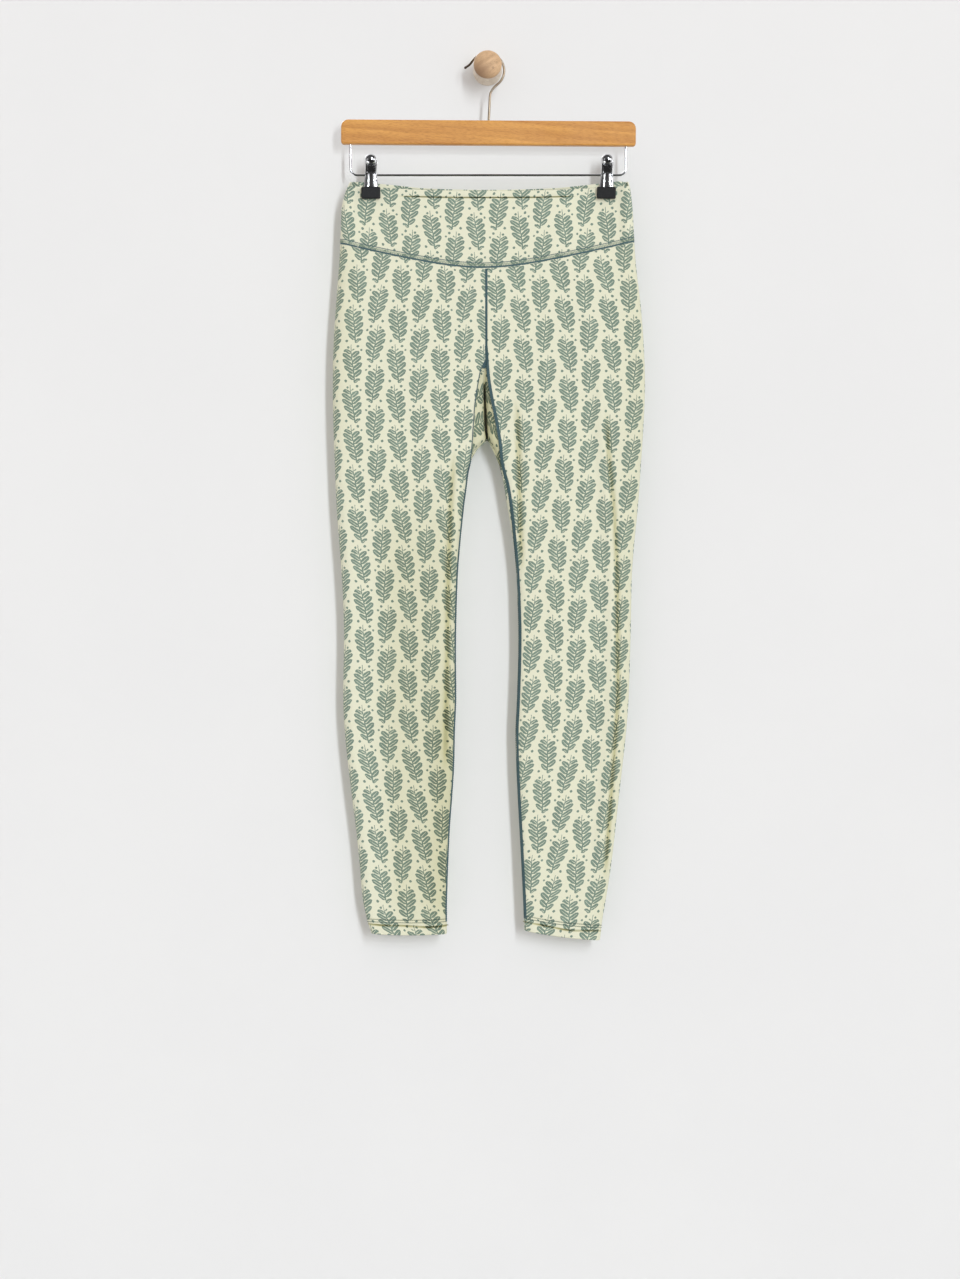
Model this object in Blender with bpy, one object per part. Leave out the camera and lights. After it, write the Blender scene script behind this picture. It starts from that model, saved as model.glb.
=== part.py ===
"""A pair of ankle-length leggings held by a clip hanger that hangs on a round wall peg.

Metres, +Z up. The wall is the plane y = 0 and the front of the garment faces -Y. The origin is the
centre of the peg's flat back. Left and right are the wearer's, so the right leg lies at -X.
Tables and driving dimensions are in millimetres, and to_metres() turns points into metres.
"""

import math
from collections import namedtuple

import bmesh
import bpy
from mathutils import Matrix, Vector

MM = 0.001

# Peg: a waisted body and a knob with a domed front, along the wall's normal
PEG_BODY_LENGTH = 41.0
PEG_BODY_RADIUS = 18.3
PEG_WAIST_RADIUS = 15.3
PEG_WAIST_AT = 0.72
PEG_FRONT_FLARE = 0.45
KNOB_RADIUS = 17.9
KNOB_BACK_RADIUS = 16.5
KNOB_RIM = 45.0
KNOB_FRONT = 54.0
KNOB_TIP_RADIUS = 0.8
PEG_STEPS = 8
KNOB_STEPS = 6
PEG_SIDES = 24

# Hanger. The hook's tip and neck are points (x, z) in the hanger's plane, its round part an arc.
HANG_Y = -31.0
WIRE = 3.0
HOOK_RADIUS = 22.0
HOOK_CENTRE = (-1.0, -5.0)
HOOK_ARC = (145.0, -48.0)
HOOK_TIP = ((-28.2, -1.2), (-26.0, 0.2), (-23.4, 1.8), (-21.2, 4.6))
HOOK_NECK = ((9.6, -24.8), (6.6, -28.2), (4.2, -31.6), (2.9, -35.6), (2.5, -41.0), (2.2, -54.0))
HOOK_FOOT = 1.2
HOOK_STEPS = 22
BAR_CENTRE = (1.0, -84.5)
BAR_SIZE = (374.0, 31.0, 12.0)
BAR_TOP_RADIUS = 9.0
BAR_BOTTOM_RADIUS = 3.6
BAR_EDGE = 1.8
BAR_TILT = math.radians(0.4)
FRAME_LEFT = -174.2
FRAME_RIGHT = 175.5
FRAME_LOW = -137.8
FRAME_CORNER = 8.5

# Clips: x, turn about the vertical, and roll in the plane of the garment
Clip = namedtuple("Clip", "name x turn roll")
CLIPS = (
    Clip("right", -148.0, math.radians(-1.5), math.radians(0.0)),
    Clip("left", 151.6, math.radians(-5.0), math.radians(1.6)),
)
LEVER_SHEET = 1.0
SPRING_RADIUS = 4.0
SPRING_BORE = 2.3
SPRING_LENGTH = 10.0
SPRING_SIDES = 16
BOOT_SIZE = (24.0, 14.6, 6.0)
BOOT_TOP = -16.0
BOOT_TOP_RADIUS = 1.2
BOOT_BOTTOM_RADIUS = 1.6
BOOT_EDGE = 1.0
GAP = 0.3

# Cloth walls
LEG_WALL = 1.2
BAND_WALL = 1.8
HEM_HEIGHT = 12.0
HEM_WALL = 2.2

# Where a clip holds the waist: half the depth of the two pressed layers, the half width that is
# pressed flat, how far it takes to open out on either side, and the height over which it opens below.
PINCHED = 2.05
GRIP_HALF = 15.0
GRIP_FADE_OUTER = 9.0
GRIP_FADE_INNER = 55.0
GRIP_LOW = -174.0
GRIP_FADE_BELOW = 90.0
GRIP_LEFT_BELOW = 0.05

# Seams: the centre front and back, the gusset's tips, the crotch, and the gusset's lower corners
CENTRE_FRONT = -2.4
CENTRE_BACK = -3.5
CROTCH = -475.0
GUSSET_FRONT = -378.0
GUSSET_BACK = -430.0
GUSSET_CORNER = {"right": -505.0, "left": -520.0}

# Between the legs the cloth folds inward: its depth just above the crotch, as a share of the tube's
# depth, the height it takes to turn, and the share of the height above that where it opens fully.
FOLD_DEPTH = 0.5
FOLD_TURN = 15.0
FOLD_OPENS = 0.3
INNER_ROLL = 14.0

# The waist seam is a soft V: its lowest point, its slope, and how round the V is. It runs level at
# the back, and meets the front one at the side seams.
SEAM_CENTRE = (-6.0, -257.3)
SEAM_RISE = 0.25
SEAM_ROUND = 70.0
SIDE_SEAM = 190.0
BACK_SEAM_DROP = -236.0

# The waistband's upper edge: its height at the centre, and its rise towards each clip.
TopEdge = namedtuple("TopEdge", "centre rise reach power")
FRONT_TOP = TopEdge(-158.3, 5.3, 150.0, 3.0)
BACK_TOP = TopEdge(-155.5, 9.3, 165.0, 2.2)

# The flat outline of the whole garment: a row for each height, with the two outer edges, the half
# depth of the tube, and how far its edges roll over.
Outline = namedtuple("Outline", "z right_outer left_outer depth roll")
OUTLINE = (
    Outline(-140, -171.5, 177.0, 6.5, 6.0),
    Outline(-150, -177.0, 180.0, 6.5, 6.0),
    Outline(-163, -181.8, 182.2, 6.8, 6.5),
    Outline(-178, -185.2, 183.8, 7.2, 7.5),
    Outline(-200, -186.4, 185.2, 8.0, 9.0),
    Outline(-225, -187.2, 186.4, 9.0, 11.0),
    Outline(-257, -189.1, 188.9, 10.0, 13.0),
    Outline(-306, -192.9, 194.6, 11.0, 14.0),
    Outline(-357, -195.9, 198.4, 11.2, 14.0),
    Outline(-407, -196.7, 199.8, 11.0, 14.0),
    Outline(-458, -195.9, 197.8, 10.6, 14.0),
    Outline(-507, -194.1, 194.5, 10.2, 14.0),
    Outline(-558, -191.9, 190.9, 10.0, 14.0),
    Outline(-601, -188.8, 186.6, 9.8, 14.0),
    Outline(-643, -185.5, 183.3, 9.6, 14.0),
    Outline(-685, -183.3, 182.3, 9.4, 14.0),
    Outline(-728, -182.5, 181.4, 9.2, 14.0),
    Outline(-804, -183.4, 178.9, 9.0, 13.0),
    Outline(-846, -181.3, 175.7, 8.8, 13.0),
    Outline(-888, -177.1, 171.2, 8.6, 12.0),
    Outline(-931, -171.9, 166.2, 8.4, 12.0),
    Outline(-973, -166.6, 161.7, 8.2, 11.0),
    Outline(-1015, -162.4, 156.6, 8.0, 11.0),
    Outline(-1057, -158.6, 150.2, 7.6, 10.0),
    Outline(-1085, -152.6, 145.4, 7.2, 9.0),
    Outline(-1112, -143.8, 142.4, 7.0, 9.0),
)

# The inner edges of the two legs, from the crotch to the ankles.
Inner = namedtuple("Inner", "z right left")
INNER = (
    Inner(-376, -2.7, -2.3),
    Inner(-384, -4.6, -3.2),
    Inner(-414, -5.0, -3.0),
    Inner(-460, -3.4, -1.0),
    Inner(-475, -2.2, 0.4),
    Inner(-480, -7.0, 3.0),
    Inner(-487, -13.8, 6.6),
    Inner(-500, -20.2, 12.0),
    Inner(-514, -24.2, 16.8),
    Inner(-538, -27.4, 21.6),
    Inner(-558, -30.1, 24.8),
    Inner(-601, -34.6, 32.2),
    Inner(-643, -38.0, 36.6),
    Inner(-705, -40.1, 38.9),
    Inner(-748, -40.5, 38.9),
    Inner(-804, -40.2, 37.2),
    Inner(-846, -41.9, 35.6),
    Inner(-888, -42.8, 36.6),
    Inner(-931, -45.6, 38.6),
    Inner(-973, -48.6, 40.8),
    Inner(-1057, -51.8, 45.4),
    Inner(-1112, -51.8, 47.2),
)

# Where the gusset is sewn to the legs: the seams' x on the front and on the back.
GussetSeam = namedtuple("GussetSeam", "z right_front left_front right_back left_back")
GUSSET_SEAM = (
    GussetSeam(-376, -3.1, -1.9, -3.6, -3.4),
    GussetSeam(-384, -8.9, -0.9, -3.6, -3.4),
    GussetSeam(-399, -11.8, 1.6, -3.6, -3.4),
    GussetSeam(-429, -16.2, 8.0, -5.2, -1.8),
    GussetSeam(-445, -17.0, 10.0, -9.6, 5.0),
    GussetSeam(-460, -17.9, 11.6, -13.4, 8.8),
    GussetSeam(-480, -19.2, 14.0, -16.6, 12.0),
    GussetSeam(-505, -22.0, 16.6, -22.0, 14.8),
    GussetSeam(-520, -25.2, 18.6, -25.2, 18.6),
)

# A soft ridge down the front of the left leg, with a hollow on its inner side: its x and its height.
Ridge = namedtuple("Ridge", "z x height")
RIDGE = (
    Ridge(-360, 148.0, 0.0),
    Ridge(-423, 149.0, 0.7),
    Ridge(-474, 150.3, 0.9),
    Ridge(-558, 158.0, 1.2),
    Ridge(-643, 163.6, 1.4),
    Ridge(-804, 164.6, 1.4),
    Ridge(-906, 158.4, 1.2),
    Ridge(-973, 151.6, 0.9),
    Ridge(-1040, 146.0, 0.0),
)
RIDGE_WIDTH = 9.0
HOLLOW_SHARE = 0.8
HOLLOW_AWAY = 1.6

# The lower edges of the legs: the height at the inner edge and at the outer edge, and how far the
# middle hangs below the straight line between them.
Hem = namedtuple("Hem", "inner outer bow")
HEMS = {"right": Hem(-1100.5, -1100.5, 1.5), "left": Hem(-1096.5, -1108.5, 2.0)}

# Rows of the cloth's mesh, as heights or as shares of a height, and columns, as distances from an
# edge or from a clip.
HIP_LEVELS = (-262.0, -290.0, -322.0, -354.0)
GUSSET_LEVELS = (-378.0, -384.5, -398.0, -415.0, -432.0, -446.0, -462.0, -476.0, -490.0)
GUSSET_BACK_TIP = -432.0
GUSSET_END = 4.0
GUSSET_BEND = 1.5
GUSSET_COLUMNS = 5
ROWS_BELOW_GUSSET = 13
HEM_STEP = 1.0
HEM_SLANTS_FROM = -850.0
LEG_EDGE_STEPS = (0.0, 1.3, 4.2, 8.6, 15.0)
LEG_MIDDLE_STEPS = 6
RIDGE_CLEAR = 3.0
BAND_LEVELS = (0.0, 0.2, 0.4, 0.6, 0.78, 0.9, 1.0)
BAND_MIDDLE = -200.0
BAND_EDGE_STEPS = (0.02, 0.5, 1.6, 3.4, 6.5, 11.0)
BAND_CLIP_STEPS = (15.0, 7.0, 0.0, -7.0, -15.0, -26.0, -42.0)
BAND_CENTRE_STEPS = 11
SETTLE_ROUNDS = 3

COLOURS = {
    "cloth": (0.68, 0.72, 0.60, 1.0, 0.85, 0.0),
    "band": (0.70, 0.74, 0.62, 1.0, 0.85, 0.0),
    "beech": (0.66, 0.36, 0.13, 1.0, 0.42, 0.0),
    "knob": (0.60, 0.38, 0.22, 1.0, 0.55, 0.0),
    "peg": (0.66, 0.56, 0.45, 1.0, 0.65, 0.0),
    "chrome": (0.78, 0.78, 0.80, 1.0, 0.12, 1.0),
    "nickel": (0.62, 0.58, 0.53, 1.0, 0.25, 1.0),
    "rubber": (0.03, 0.03, 0.035, 1.0, 0.55, 0.0),
}


# ---------------------------------------------------------------- helpers


def to_metres(point):
    return Vector(point) * MM


def material(name, key):
    red, green, blue, alpha, roughness, metallic = COLOURS[key]
    made = bpy.data.materials.new(name)
    made.use_nodes = True
    shader = made.node_tree.nodes["Principled BSDF"]
    shader.inputs["Base Color"].default_value = (red, green, blue, alpha)
    shader.inputs["Roughness"].default_value = roughness
    shader.inputs["Metallic"].default_value = metallic
    return made


def add_object(name, data, key):
    made = bpy.data.objects.new(name, data)
    data.materials.append(material(name, key))
    bpy.context.scene.collection.objects.link(made)
    return made


def mesh_object(name, points, faces, key, smooth_angle=50.0):
    mesh = bpy.data.meshes.new(name)
    mesh.from_pydata([to_metres(p) for p in points], [], faces)
    work = bmesh.new()
    work.from_mesh(mesh)
    bmesh.ops.recalc_face_normals(work, faces=work.faces)
    work.to_mesh(mesh)
    work.free()
    mesh.shade_smooth()
    mesh.set_sharp_from_angle(angle=math.radians(smooth_angle))
    return add_object(name, mesh, key)


def loft(rings, around=False):
    """Points and faces that join rings of equally many points: capped, or closed into a hoop."""
    count = len(rings[0])
    points = [p for ring in rings for p in ring]
    faces = []
    pairs = list(zip(range(len(rings)), range(1, len(rings))))
    if around:
        pairs.append((len(rings) - 1, 0))
    for low, high in pairs:
        for i in range(count):
            j = (i + 1) % count
            faces.append((low * count + i, low * count + j, high * count + j, high * count + i))
    if not around:
        faces.append(tuple(range(count)))
        faces.append(tuple((len(rings) - 1) * count + i for i in reversed(range(count))))
    return points, faces


def smooth(rows, z, column):
    """The value of a table's column at height z, on a smooth curve through its rows."""
    values = [getattr(row, column) for row in rows]
    heights = [row.z for row in rows]
    if z >= heights[0]:
        return values[0]
    if z <= heights[-1]:
        return values[-1]
    i = next(k for k in range(len(rows) - 1) if heights[k] >= z >= heights[k + 1])

    def slope(k):
        a, b = max(k - 1, 0), min(k + 1, len(rows) - 1)
        return (values[b] - values[a]) / (heights[b] - heights[a])

    step = heights[i + 1] - heights[i]
    s = (z - heights[i]) / step
    start = (2 * s**3 - 3 * s**2 + 1) * values[i] + (s**3 - 2 * s**2 + s) * step * slope(i)
    end = (3 * s**2 - 2 * s**3) * values[i + 1] + (s**3 - s**2) * step * slope(i + 1)
    return start + end


def ease(s):
    """0 to 1 with a soft start and end."""
    s = min(max(s, 0.0), 1.0)
    return s * s * (3 - 2 * s)


def rounded(distance, width):
    """0 at an edge, 1 from width away, on a quarter of an ellipse."""
    s = min(max(distance / width, 0.0), 1.0)
    return math.sqrt(1 - (1 - s) ** 2)


# ---------------------------------------------------------------- peg


def turned(name, profile, key):
    """A solid of revolution about the peg's axis, from (distance from the wall, radius) pairs."""
    rings = []
    for distance, radius in profile:
        ring = []
        for i in range(PEG_SIDES):
            angle = 2 * math.pi * i / PEG_SIDES
            ring.append((radius * math.cos(angle), -distance, radius * math.sin(angle)))
        rings.append(ring)
    return mesh_object(name, *loft(rings), key)


def build_peg():
    body = []
    for i in range(PEG_STEPS + 1):
        along = i / PEG_STEPS
        waist = ease(along / PEG_WAIST_AT)
        flare = PEG_FRONT_FLARE * ease((along - PEG_WAIST_AT) / (1 - PEG_WAIST_AT))
        radius = PEG_BODY_RADIUS - (PEG_BODY_RADIUS - PEG_WAIST_RADIUS) * waist * (1 - flare)
        body.append((along * PEG_BODY_LENGTH, radius))
    turned("peg_body", body, "peg")
    back = PEG_BODY_LENGTH + GAP
    knob = [(back, KNOB_BACK_RADIUS), ((back + KNOB_RIM) / 2, (KNOB_BACK_RADIUS + 3 * KNOB_RADIUS) / 4)]
    for i in range(KNOB_STEPS + 1):
        angle = math.pi / 2 * i / KNOB_STEPS
        radius = max(KNOB_RADIUS * math.cos(angle), KNOB_TIP_RADIUS)
        knob.append((KNOB_RIM + (KNOB_FRONT - KNOB_RIM) * math.sin(angle), radius))
    turned("peg_knob", knob, "knob")


# ---------------------------------------------------------------- hanger


def wire(name, route, key, resolution=2):
    """A round wire along a route of (x, z) points in the hanger's plane."""
    curve = bpy.data.curves.new(name, "CURVE")
    curve.dimensions = "3D"
    curve.bevel_depth = WIRE / 2 * MM
    curve.bevel_resolution = resolution
    curve.use_fill_caps = True
    spline = curve.splines.new("POLY")
    spline.points.add(len(route) - 1)
    for point, (x, z) in zip(spline.points, route):
        point.co = (*to_metres((x, HANG_Y, z)), 1.0)
    return add_object(name, curve, key)


def arc(centre, radius, start, end, count):
    """Points on an arc; angles in degrees, from +X towards +Z."""
    out = []
    for i in range(count + 1):
        angle = math.radians(start + (end - start) * i / count)
        out.append((centre[0] + radius * math.cos(angle), centre[1] + radius * math.sin(angle)))
    return out


def bar_edge(x, above):
    """The height of the bar's upper or lower face at x."""
    half = BAR_SIZE[1] / 2
    return BAR_CENTRE[1] + (half if above else -half) - (x - BAR_CENTRE[0]) * math.tan(BAR_TILT)


def build_hook():
    round_part = arc(HOOK_CENTRE, HOOK_RADIUS, *HOOK_ARC, HOOK_STEPS)
    foot = (HOOK_FOOT, bar_edge(HOOK_FOOT, True) + GAP)
    wire("hanger_hook", [*HOOK_TIP, *round_part, *HOOK_NECK, foot], "nickel")


def build_frame():
    left = (FRAME_LEFT + FRAME_CORNER, FRAME_LOW + FRAME_CORNER)
    right = (FRAME_RIGHT - FRAME_CORNER, FRAME_LOW + FRAME_CORNER)
    route = [(FRAME_LEFT, bar_edge(FRAME_LEFT, False) - GAP)]
    route += arc(left, FRAME_CORNER, 180, 270, 6)
    route += arc(right, FRAME_CORNER, 270, 360, 6)
    route.append((FRAME_RIGHT, bar_edge(FRAME_RIGHT, False) - GAP))
    wire("wire_frame", route, "chrome")


def rounded_outline(width, height, top_radius, bottom_radius, inset, steps):
    """A rectangle with round corners, about (0, 0), drawn in by inset, as (x, z) points."""
    half_w, half_h = width / 2 - inset, height / 2 - inset
    corners = (
        (1, 1, top_radius, 0),
        (-1, 1, top_radius, 90),
        (-1, -1, bottom_radius, 180),
        (1, -1, bottom_radius, 270),
    )
    out = []
    for side_x, side_z, radius, start in corners:
        radius = max(radius - inset, 0.4)
        centre = (side_x * (half_w - radius), side_z * (half_h - radius))
        out += arc(centre, radius, start, start + 90, steps)
    return out


def plank(width, height, depth, top_radius, bottom_radius, edge, steps=5):
    """Rings of a flat board with rounded long edges, from its back face to its front face."""
    half = depth / 2
    layers = (
        (half, edge),
        (half - edge * 0.3, edge * 0.3),
        (half - edge, 0.0),
        (-half + edge, 0.0),
        (-half + edge * 0.3, edge * 0.3),
        (-half, edge),
    )
    rings = []
    for y, inset in layers:
        outline = rounded_outline(width, height, top_radius, bottom_radius, inset, steps)
        rings.append([(x, y, z) for x, z in outline])
    return rings


def build_bar():
    rings = plank(*BAR_SIZE, BAR_TOP_RADIUS, BAR_BOTTOM_RADIUS, BAR_EDGE)
    bar = mesh_object("hanger_bar", *loft(rings), "beech")
    bar.location = to_metres((BAR_CENTRE[0], HANG_Y, BAR_CENTRE[1]))
    bar.rotation_euler = (0.0, BAR_TILT, 0.0)


# ---------------------------------------------------------------- clips

# One lever's section at a height above the spring's axis: how far its outer face stands from the
# clip's middle plane, its half width, how deep its side flanges are, and the height of its two ribs.
Lever = namedtuple("Lever", "z face half flange rib")
LEVER = (
    Lever(11.5, 8.6, 5.9, 2.6, 0.0),
    Lever(8.0, 7.4, 6.1, 3.2, 0.0),
    Lever(4.0, 6.0, 6.6, 3.2, 0.0),
    Lever(1.5, 5.5, 7.2, 3.0, 0.9),
    Lever(-3.0, 5.3, 7.8, 2.7, 1.0),
    Lever(-10.0, 5.3, 8.6, 2.6, 1.0),
    Lever(-15.7, 5.3, 9.2, 2.6, 1.0),
)
# The domed finger pad above it: its centre, radius and height, how far it stands out and leans, the
# angles where it starts and ends, and the depth of its rim.
PAD_CENTRE = 18.6
PAD_RADIUS = 7.1
PAD_HEIGHT = 5.2
PAD_BASE = 9.4
PAD_LEAN = 0.03
PAD_ARC = (84.0, -56.0)
PAD_FLANGE = 1.6
PAD_STEPS = 5
FACE_STEPS = 8


def lever_ring(z, face, half, flange, rib, bulge):
    """A channel's section: outer face from side to side, then back along the inner face."""
    outer, inner = [], []
    for i in range(FACE_STEPS + 1):
        across = -1 + 2 * i / FACE_STEPS
        raised = rib * max(0.0, math.cos(4 * math.pi * (abs(across) - 0.5))) if rib else 0.0
        crown = bulge * math.sqrt(max(0.0, 1 - across * across))
        outer.append((across * half, face + raised + crown, z))
    inner_half = half - LEVER_SHEET
    for i in range(FACE_STEPS, -1, -2):
        across = -1 + 2 * i / FACE_STEPS
        inner.append((across * inner_half, face - LEVER_SHEET, z))
    side_left = [(-half, face - flange, z)]
    side_right = [(half, face - flange, z), (inner_half, face - flange, z)]
    return side_left + outer + side_right + inner + [(-inner_half, face - flange, z)]


def lever_rings():
    """Sections from the top of the round finger pad down to the jaw."""
    rings = []
    start, end = PAD_ARC
    for i in range(PAD_STEPS + 1):
        angle = math.radians(start + (end - start) * i / PAD_STEPS)
        z = PAD_CENTRE + PAD_RADIUS * math.sin(angle)
        half = max(PAD_RADIUS * math.cos(angle), 1.4 * LEVER_SHEET)
        face = PAD_BASE - PAD_LEAN * (z - PAD_CENTRE)
        rings.append(lever_ring(z, face, half, PAD_FLANGE, 0.0, PAD_HEIGHT * half / PAD_RADIUS))
    for row in LEVER:
        rings.append(lever_ring(row.z, row.face, row.half, row.flange, row.rib, 0.0))
    return rings


def place_on_clip(made, clip, front):
    """Stand a piece modelled about the spring's axis, outward along +Y, on its clip."""
    side = Matrix.Rotation(math.pi, 4, "Z") if front else Matrix.Identity(4)
    turn = Matrix.Rotation(clip.turn, 4, "Z")
    roll = Matrix.Rotation(clip.roll, 4, "Y")
    made.matrix_world = Matrix.Translation(to_metres((clip.x, HANG_Y, FRAME_LOW))) @ roll @ turn @ side


def build_clip(clip):
    points, faces = loft(lever_rings())
    boot = plank(*BOOT_SIZE, BOOT_TOP_RADIUS, BOOT_BOTTOM_RADIUS, BOOT_EDGE, steps=3)
    boot_y = PINCHED + GAP + BOOT_SIZE[2] / 2
    boot_z = BOOT_TOP - BOOT_SIZE[1] / 2
    for front, where in ((True, "front"), (False, "back")):
        lever = mesh_object(f"clip_{clip.name}_lever_{where}", points, faces, "chrome")
        place_on_clip(lever, clip, front)
        rings = [[(x, y + boot_y, z + boot_z) for x, y, z in ring] for ring in boot]
        pad = mesh_object(f"clip_{clip.name}_boot_{where}", *loft(rings), "rubber")
        place_on_clip(pad, clip, front)
    half = SPRING_LENGTH / 2
    section = ((-half, SPRING_BORE), (-half, SPRING_RADIUS), (half, SPRING_RADIUS), (half, SPRING_BORE))
    rings = []
    for i in range(SPRING_SIDES):
        angle = 2 * math.pi * i / SPRING_SIDES
        rings.append([(x, r * math.cos(angle), r * math.sin(angle)) for x, r in section])
    spring = mesh_object(f"clip_{clip.name}_spring", *loft(rings, around=True), "nickel")
    place_on_clip(spring, clip, False)


# ---------------------------------------------------------------- cloth


def seam_height(x, front):
    """The height of the seam between the waistband and the legs."""
    away = math.hypot(x - SEAM_CENTRE[0], SEAM_ROUND) - SEAM_ROUND
    height = SEAM_CENTRE[1] + SEAM_RISE * away
    if front:
        return height
    side = seam_height(math.copysign(SIDE_SEAM, x), True)
    return side + (BACK_SEAM_DROP - side) * (1 - ease(abs(x) / SIDE_SEAM))


def band_top(x, front):
    """The height of the waistband's upper edge."""
    edge = FRONT_TOP if front else BACK_TOP
    return edge.centre + edge.rise * min(abs(x) / edge.reach, 1.0) ** edge.power


def held_by(clip, x, z):
    """1 where a clip holds the two layers together, fading to 0 around and below it."""
    away = abs(x - clip.x) - GRIP_HALF
    fade = GRIP_FADE_OUTER if abs(x) > abs(clip.x) else GRIP_FADE_INNER
    below = ease((GRIP_LOW - z) / GRIP_FADE_BELOW)
    return (1 - ease(away / fade)) * (1 - (1 - GRIP_LEFT_BELOW) * below)


def middle(x, z):
    """The y of the garment's middle plane, which turns with each clip where the clip holds it."""
    return HANG_Y + sum(held_by(clip, x, z) * (x - clip.x) * math.tan(clip.turn) for clip in CLIPS)


def outer_edge(side, z):
    return smooth(OUTLINE, z, side + "_outer")


def inner_edge(side, z):
    return smooth(INNER, z, side)


def half_depth(x, z):
    deep = smooth(OUTLINE, z, "depth")
    return PINCHED + (deep - PINCHED) * (1 - max(held_by(clip, x, z) for clip in CLIPS))


def opened(z, front):
    """How much of the depth is left where the two legs meet: 1 above the gusset, 0 below the crotch."""
    above = z - CROTCH
    top = (GUSSET_FRONT if front else GUSSET_BACK) - CROTCH
    if above <= 0:
        return 0.0
    if above < FOLD_TURN:
        return FOLD_DEPTH * rounded(above, FOLD_TURN)
    rest = (above - FOLD_TURN) / (top - FOLD_TURN)
    return FOLD_DEPTH + (1 - FOLD_DEPTH) * ease((rest - (1 - FOLD_OPENS)) / FOLD_OPENS)


def ridge_height(x, z):
    """The soft ridge down the front of the left leg, less the hollow beside it."""
    away = (x - smooth(RIDGE, z, "x")) / RIDGE_WIDTH
    hollow = HOLLOW_SHARE * math.exp(-((away + HOLLOW_AWAY) ** 2))
    return smooth(RIDGE, z, "height") * (math.exp(-away * away) - hollow)


def cloth(side, x, z, front):
    """The point of the garment's outer surface at x and z."""
    depth = half_depth(x, z)
    across = rounded(abs(outer_edge(side, z) - x), smooth(OUTLINE, z, "roll"))
    inner = rounded(abs(x - inner_edge(side, z)), INNER_ROLL)
    left_open = opened(z, front)
    out = depth * across * (left_open + (1 - left_open) * inner)
    if front and side == "left" and z < RIDGE[0].z:
        out += ridge_height(x, z) * across
    return Vector((x, middle(x, z) + (-out if front else out), z))


def normals(grid, closed_rows):
    """Unit normals of a grid of points; closed_rows are the rows whose first and last points meet."""
    rows, columns = len(grid), len(grid[0])
    out = []
    for i in range(rows):
        line = []
        up, down = grid[max(i - 1, 0)], grid[min(i + 1, rows - 1)]
        for j in range(columns):
            if i in closed_rows and j in (0, columns - 1):
                before, after = grid[i][columns - 2], grid[i][1]
            else:
                before, after = grid[i][max(j - 1, 0)], grid[i][min(j + 1, columns - 1)]
            line.append((after - before).cross(down[j] - up[j]).normalized())
        if i in closed_rows:
            line[-1] = line[0]
        out.append(line)
    return out


def wall(name, grid, thickness, key, flip=False, closed_from=None):
    """A closed cloth wall: the grid's surface, a second one inside it, and the edges between them.

    thickness(i) is the wall's thickness at row i. From row closed_from on, the first and last points
    of a row are one point, so that part is a tube.
    """
    rows, columns = len(grid), len(grid[0])
    closed_rows = range(closed_from, rows) if closed_from is not None else range(0)
    normal = normals(grid, closed_rows)
    sign = 1.0 if flip else -1.0
    points, index = [], {}
    for layer in (0, 1):
        for i in range(rows):
            for j in range(columns):
                if i in closed_rows and j == columns - 1:
                    index[layer, i, j] = index[layer, i, 0]
                    continue
                index[layer, i, j] = len(points)
                points.append(grid[i][j] + normal[i][j] * (sign * layer * thickness(i)))
    faces = []
    for i in range(rows - 1):
        for j in range(columns - 1):
            ring = ((i, j), (i, j + 1), (i + 1, j + 1), (i + 1, j))
            faces.append(tuple(index[0, a, b] for a, b in ring))
            faces.append(tuple(index[1, a, b] for a, b in reversed(ring)))
    edges = [((0, j), (0, j + 1)) for j in range(columns - 1)]
    edges += [((rows - 1, j), (rows - 1, j + 1)) for j in range(columns - 1)]
    last_open = closed_from if closed_from is not None else rows - 1
    for j in (0, columns - 1):
        edges += [((i, j), (i + 1, j)) for i in range(last_open)]
    for (a, b), (c, d) in edges:
        faces.append((index[0, a, b], index[0, c, d], index[1, c, d], index[1, a, b]))
    return mesh_object(name, points, faces, key, smooth_angle=70.0)


def band_x(column, z):
    """The x of a waistband column: near a side seam it keeps its distance from the outer edge."""
    side, away = column
    return away if side is None else outer_edge(side, z) - math.copysign(away, outer_edge(side, z))


def band_columns():
    """Columns from side seam to side seam, closer together on the rolled edges and at the clips."""
    right = [("right", away) for away in BAND_EDGE_STEPS]
    left = [("left", away) for away in reversed(BAND_EDGE_STEPS)]
    right_clip, left_clip = CLIPS
    right += [(None, right_clip.x - away) for away in BAND_CLIP_STEPS]
    left = [(None, left_clip.x + away) for away in reversed(BAND_CLIP_STEPS)] + left
    start, stop = right[-1][1], left[0][1]
    step = (stop - start) / BAND_CENTRE_STEPS
    between = [(None, start + step * i) for i in range(1, BAND_CENTRE_STEPS)]
    return right + between + left


def build_band(front):
    """One half of the waistband, from side seam to side seam and from the leg seam up."""
    grid = []
    for up in BAND_LEVELS:
        line = []
        for column in band_columns():
            z = BAND_MIDDLE
            for _ in range(SETTLE_ROUNDS):
                x = band_x(column, z)
                low = seam_height(x, front) + GAP / 2
                z = low + (band_top(x, front) - low) * up
            side = "right" if x < CENTRE_FRONT else "left"
            point = cloth(side, x, z, front)
            flat = middle(x, z)
            point.y = min(point.y, flat - GAP / 2) if front else max(point.y, flat + GAP / 2)
            line.append(point)
        grid.append(line)
    name = "waistband_front" if front else "waistband_back"
    wall(name, grid, lambda i: BAND_WALL, "band", flip=not front)


def panel_edge(side, z, front):
    """The x where a leg's panel ends on its inner side."""
    away = -GAP / 2 if side == "right" else GAP / 2
    if z < GUSSET_CORNER[side]:
        return inner_edge(side, z)
    where = "front" if front else "back"
    if z > (GUSSET_FRONT if front else GUSSET_BACK):
        return (CENTRE_FRONT if front else CENTRE_BACK) + away
    return smooth(GUSSET_SEAM, z, f"{side}_{where}") + away


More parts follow.
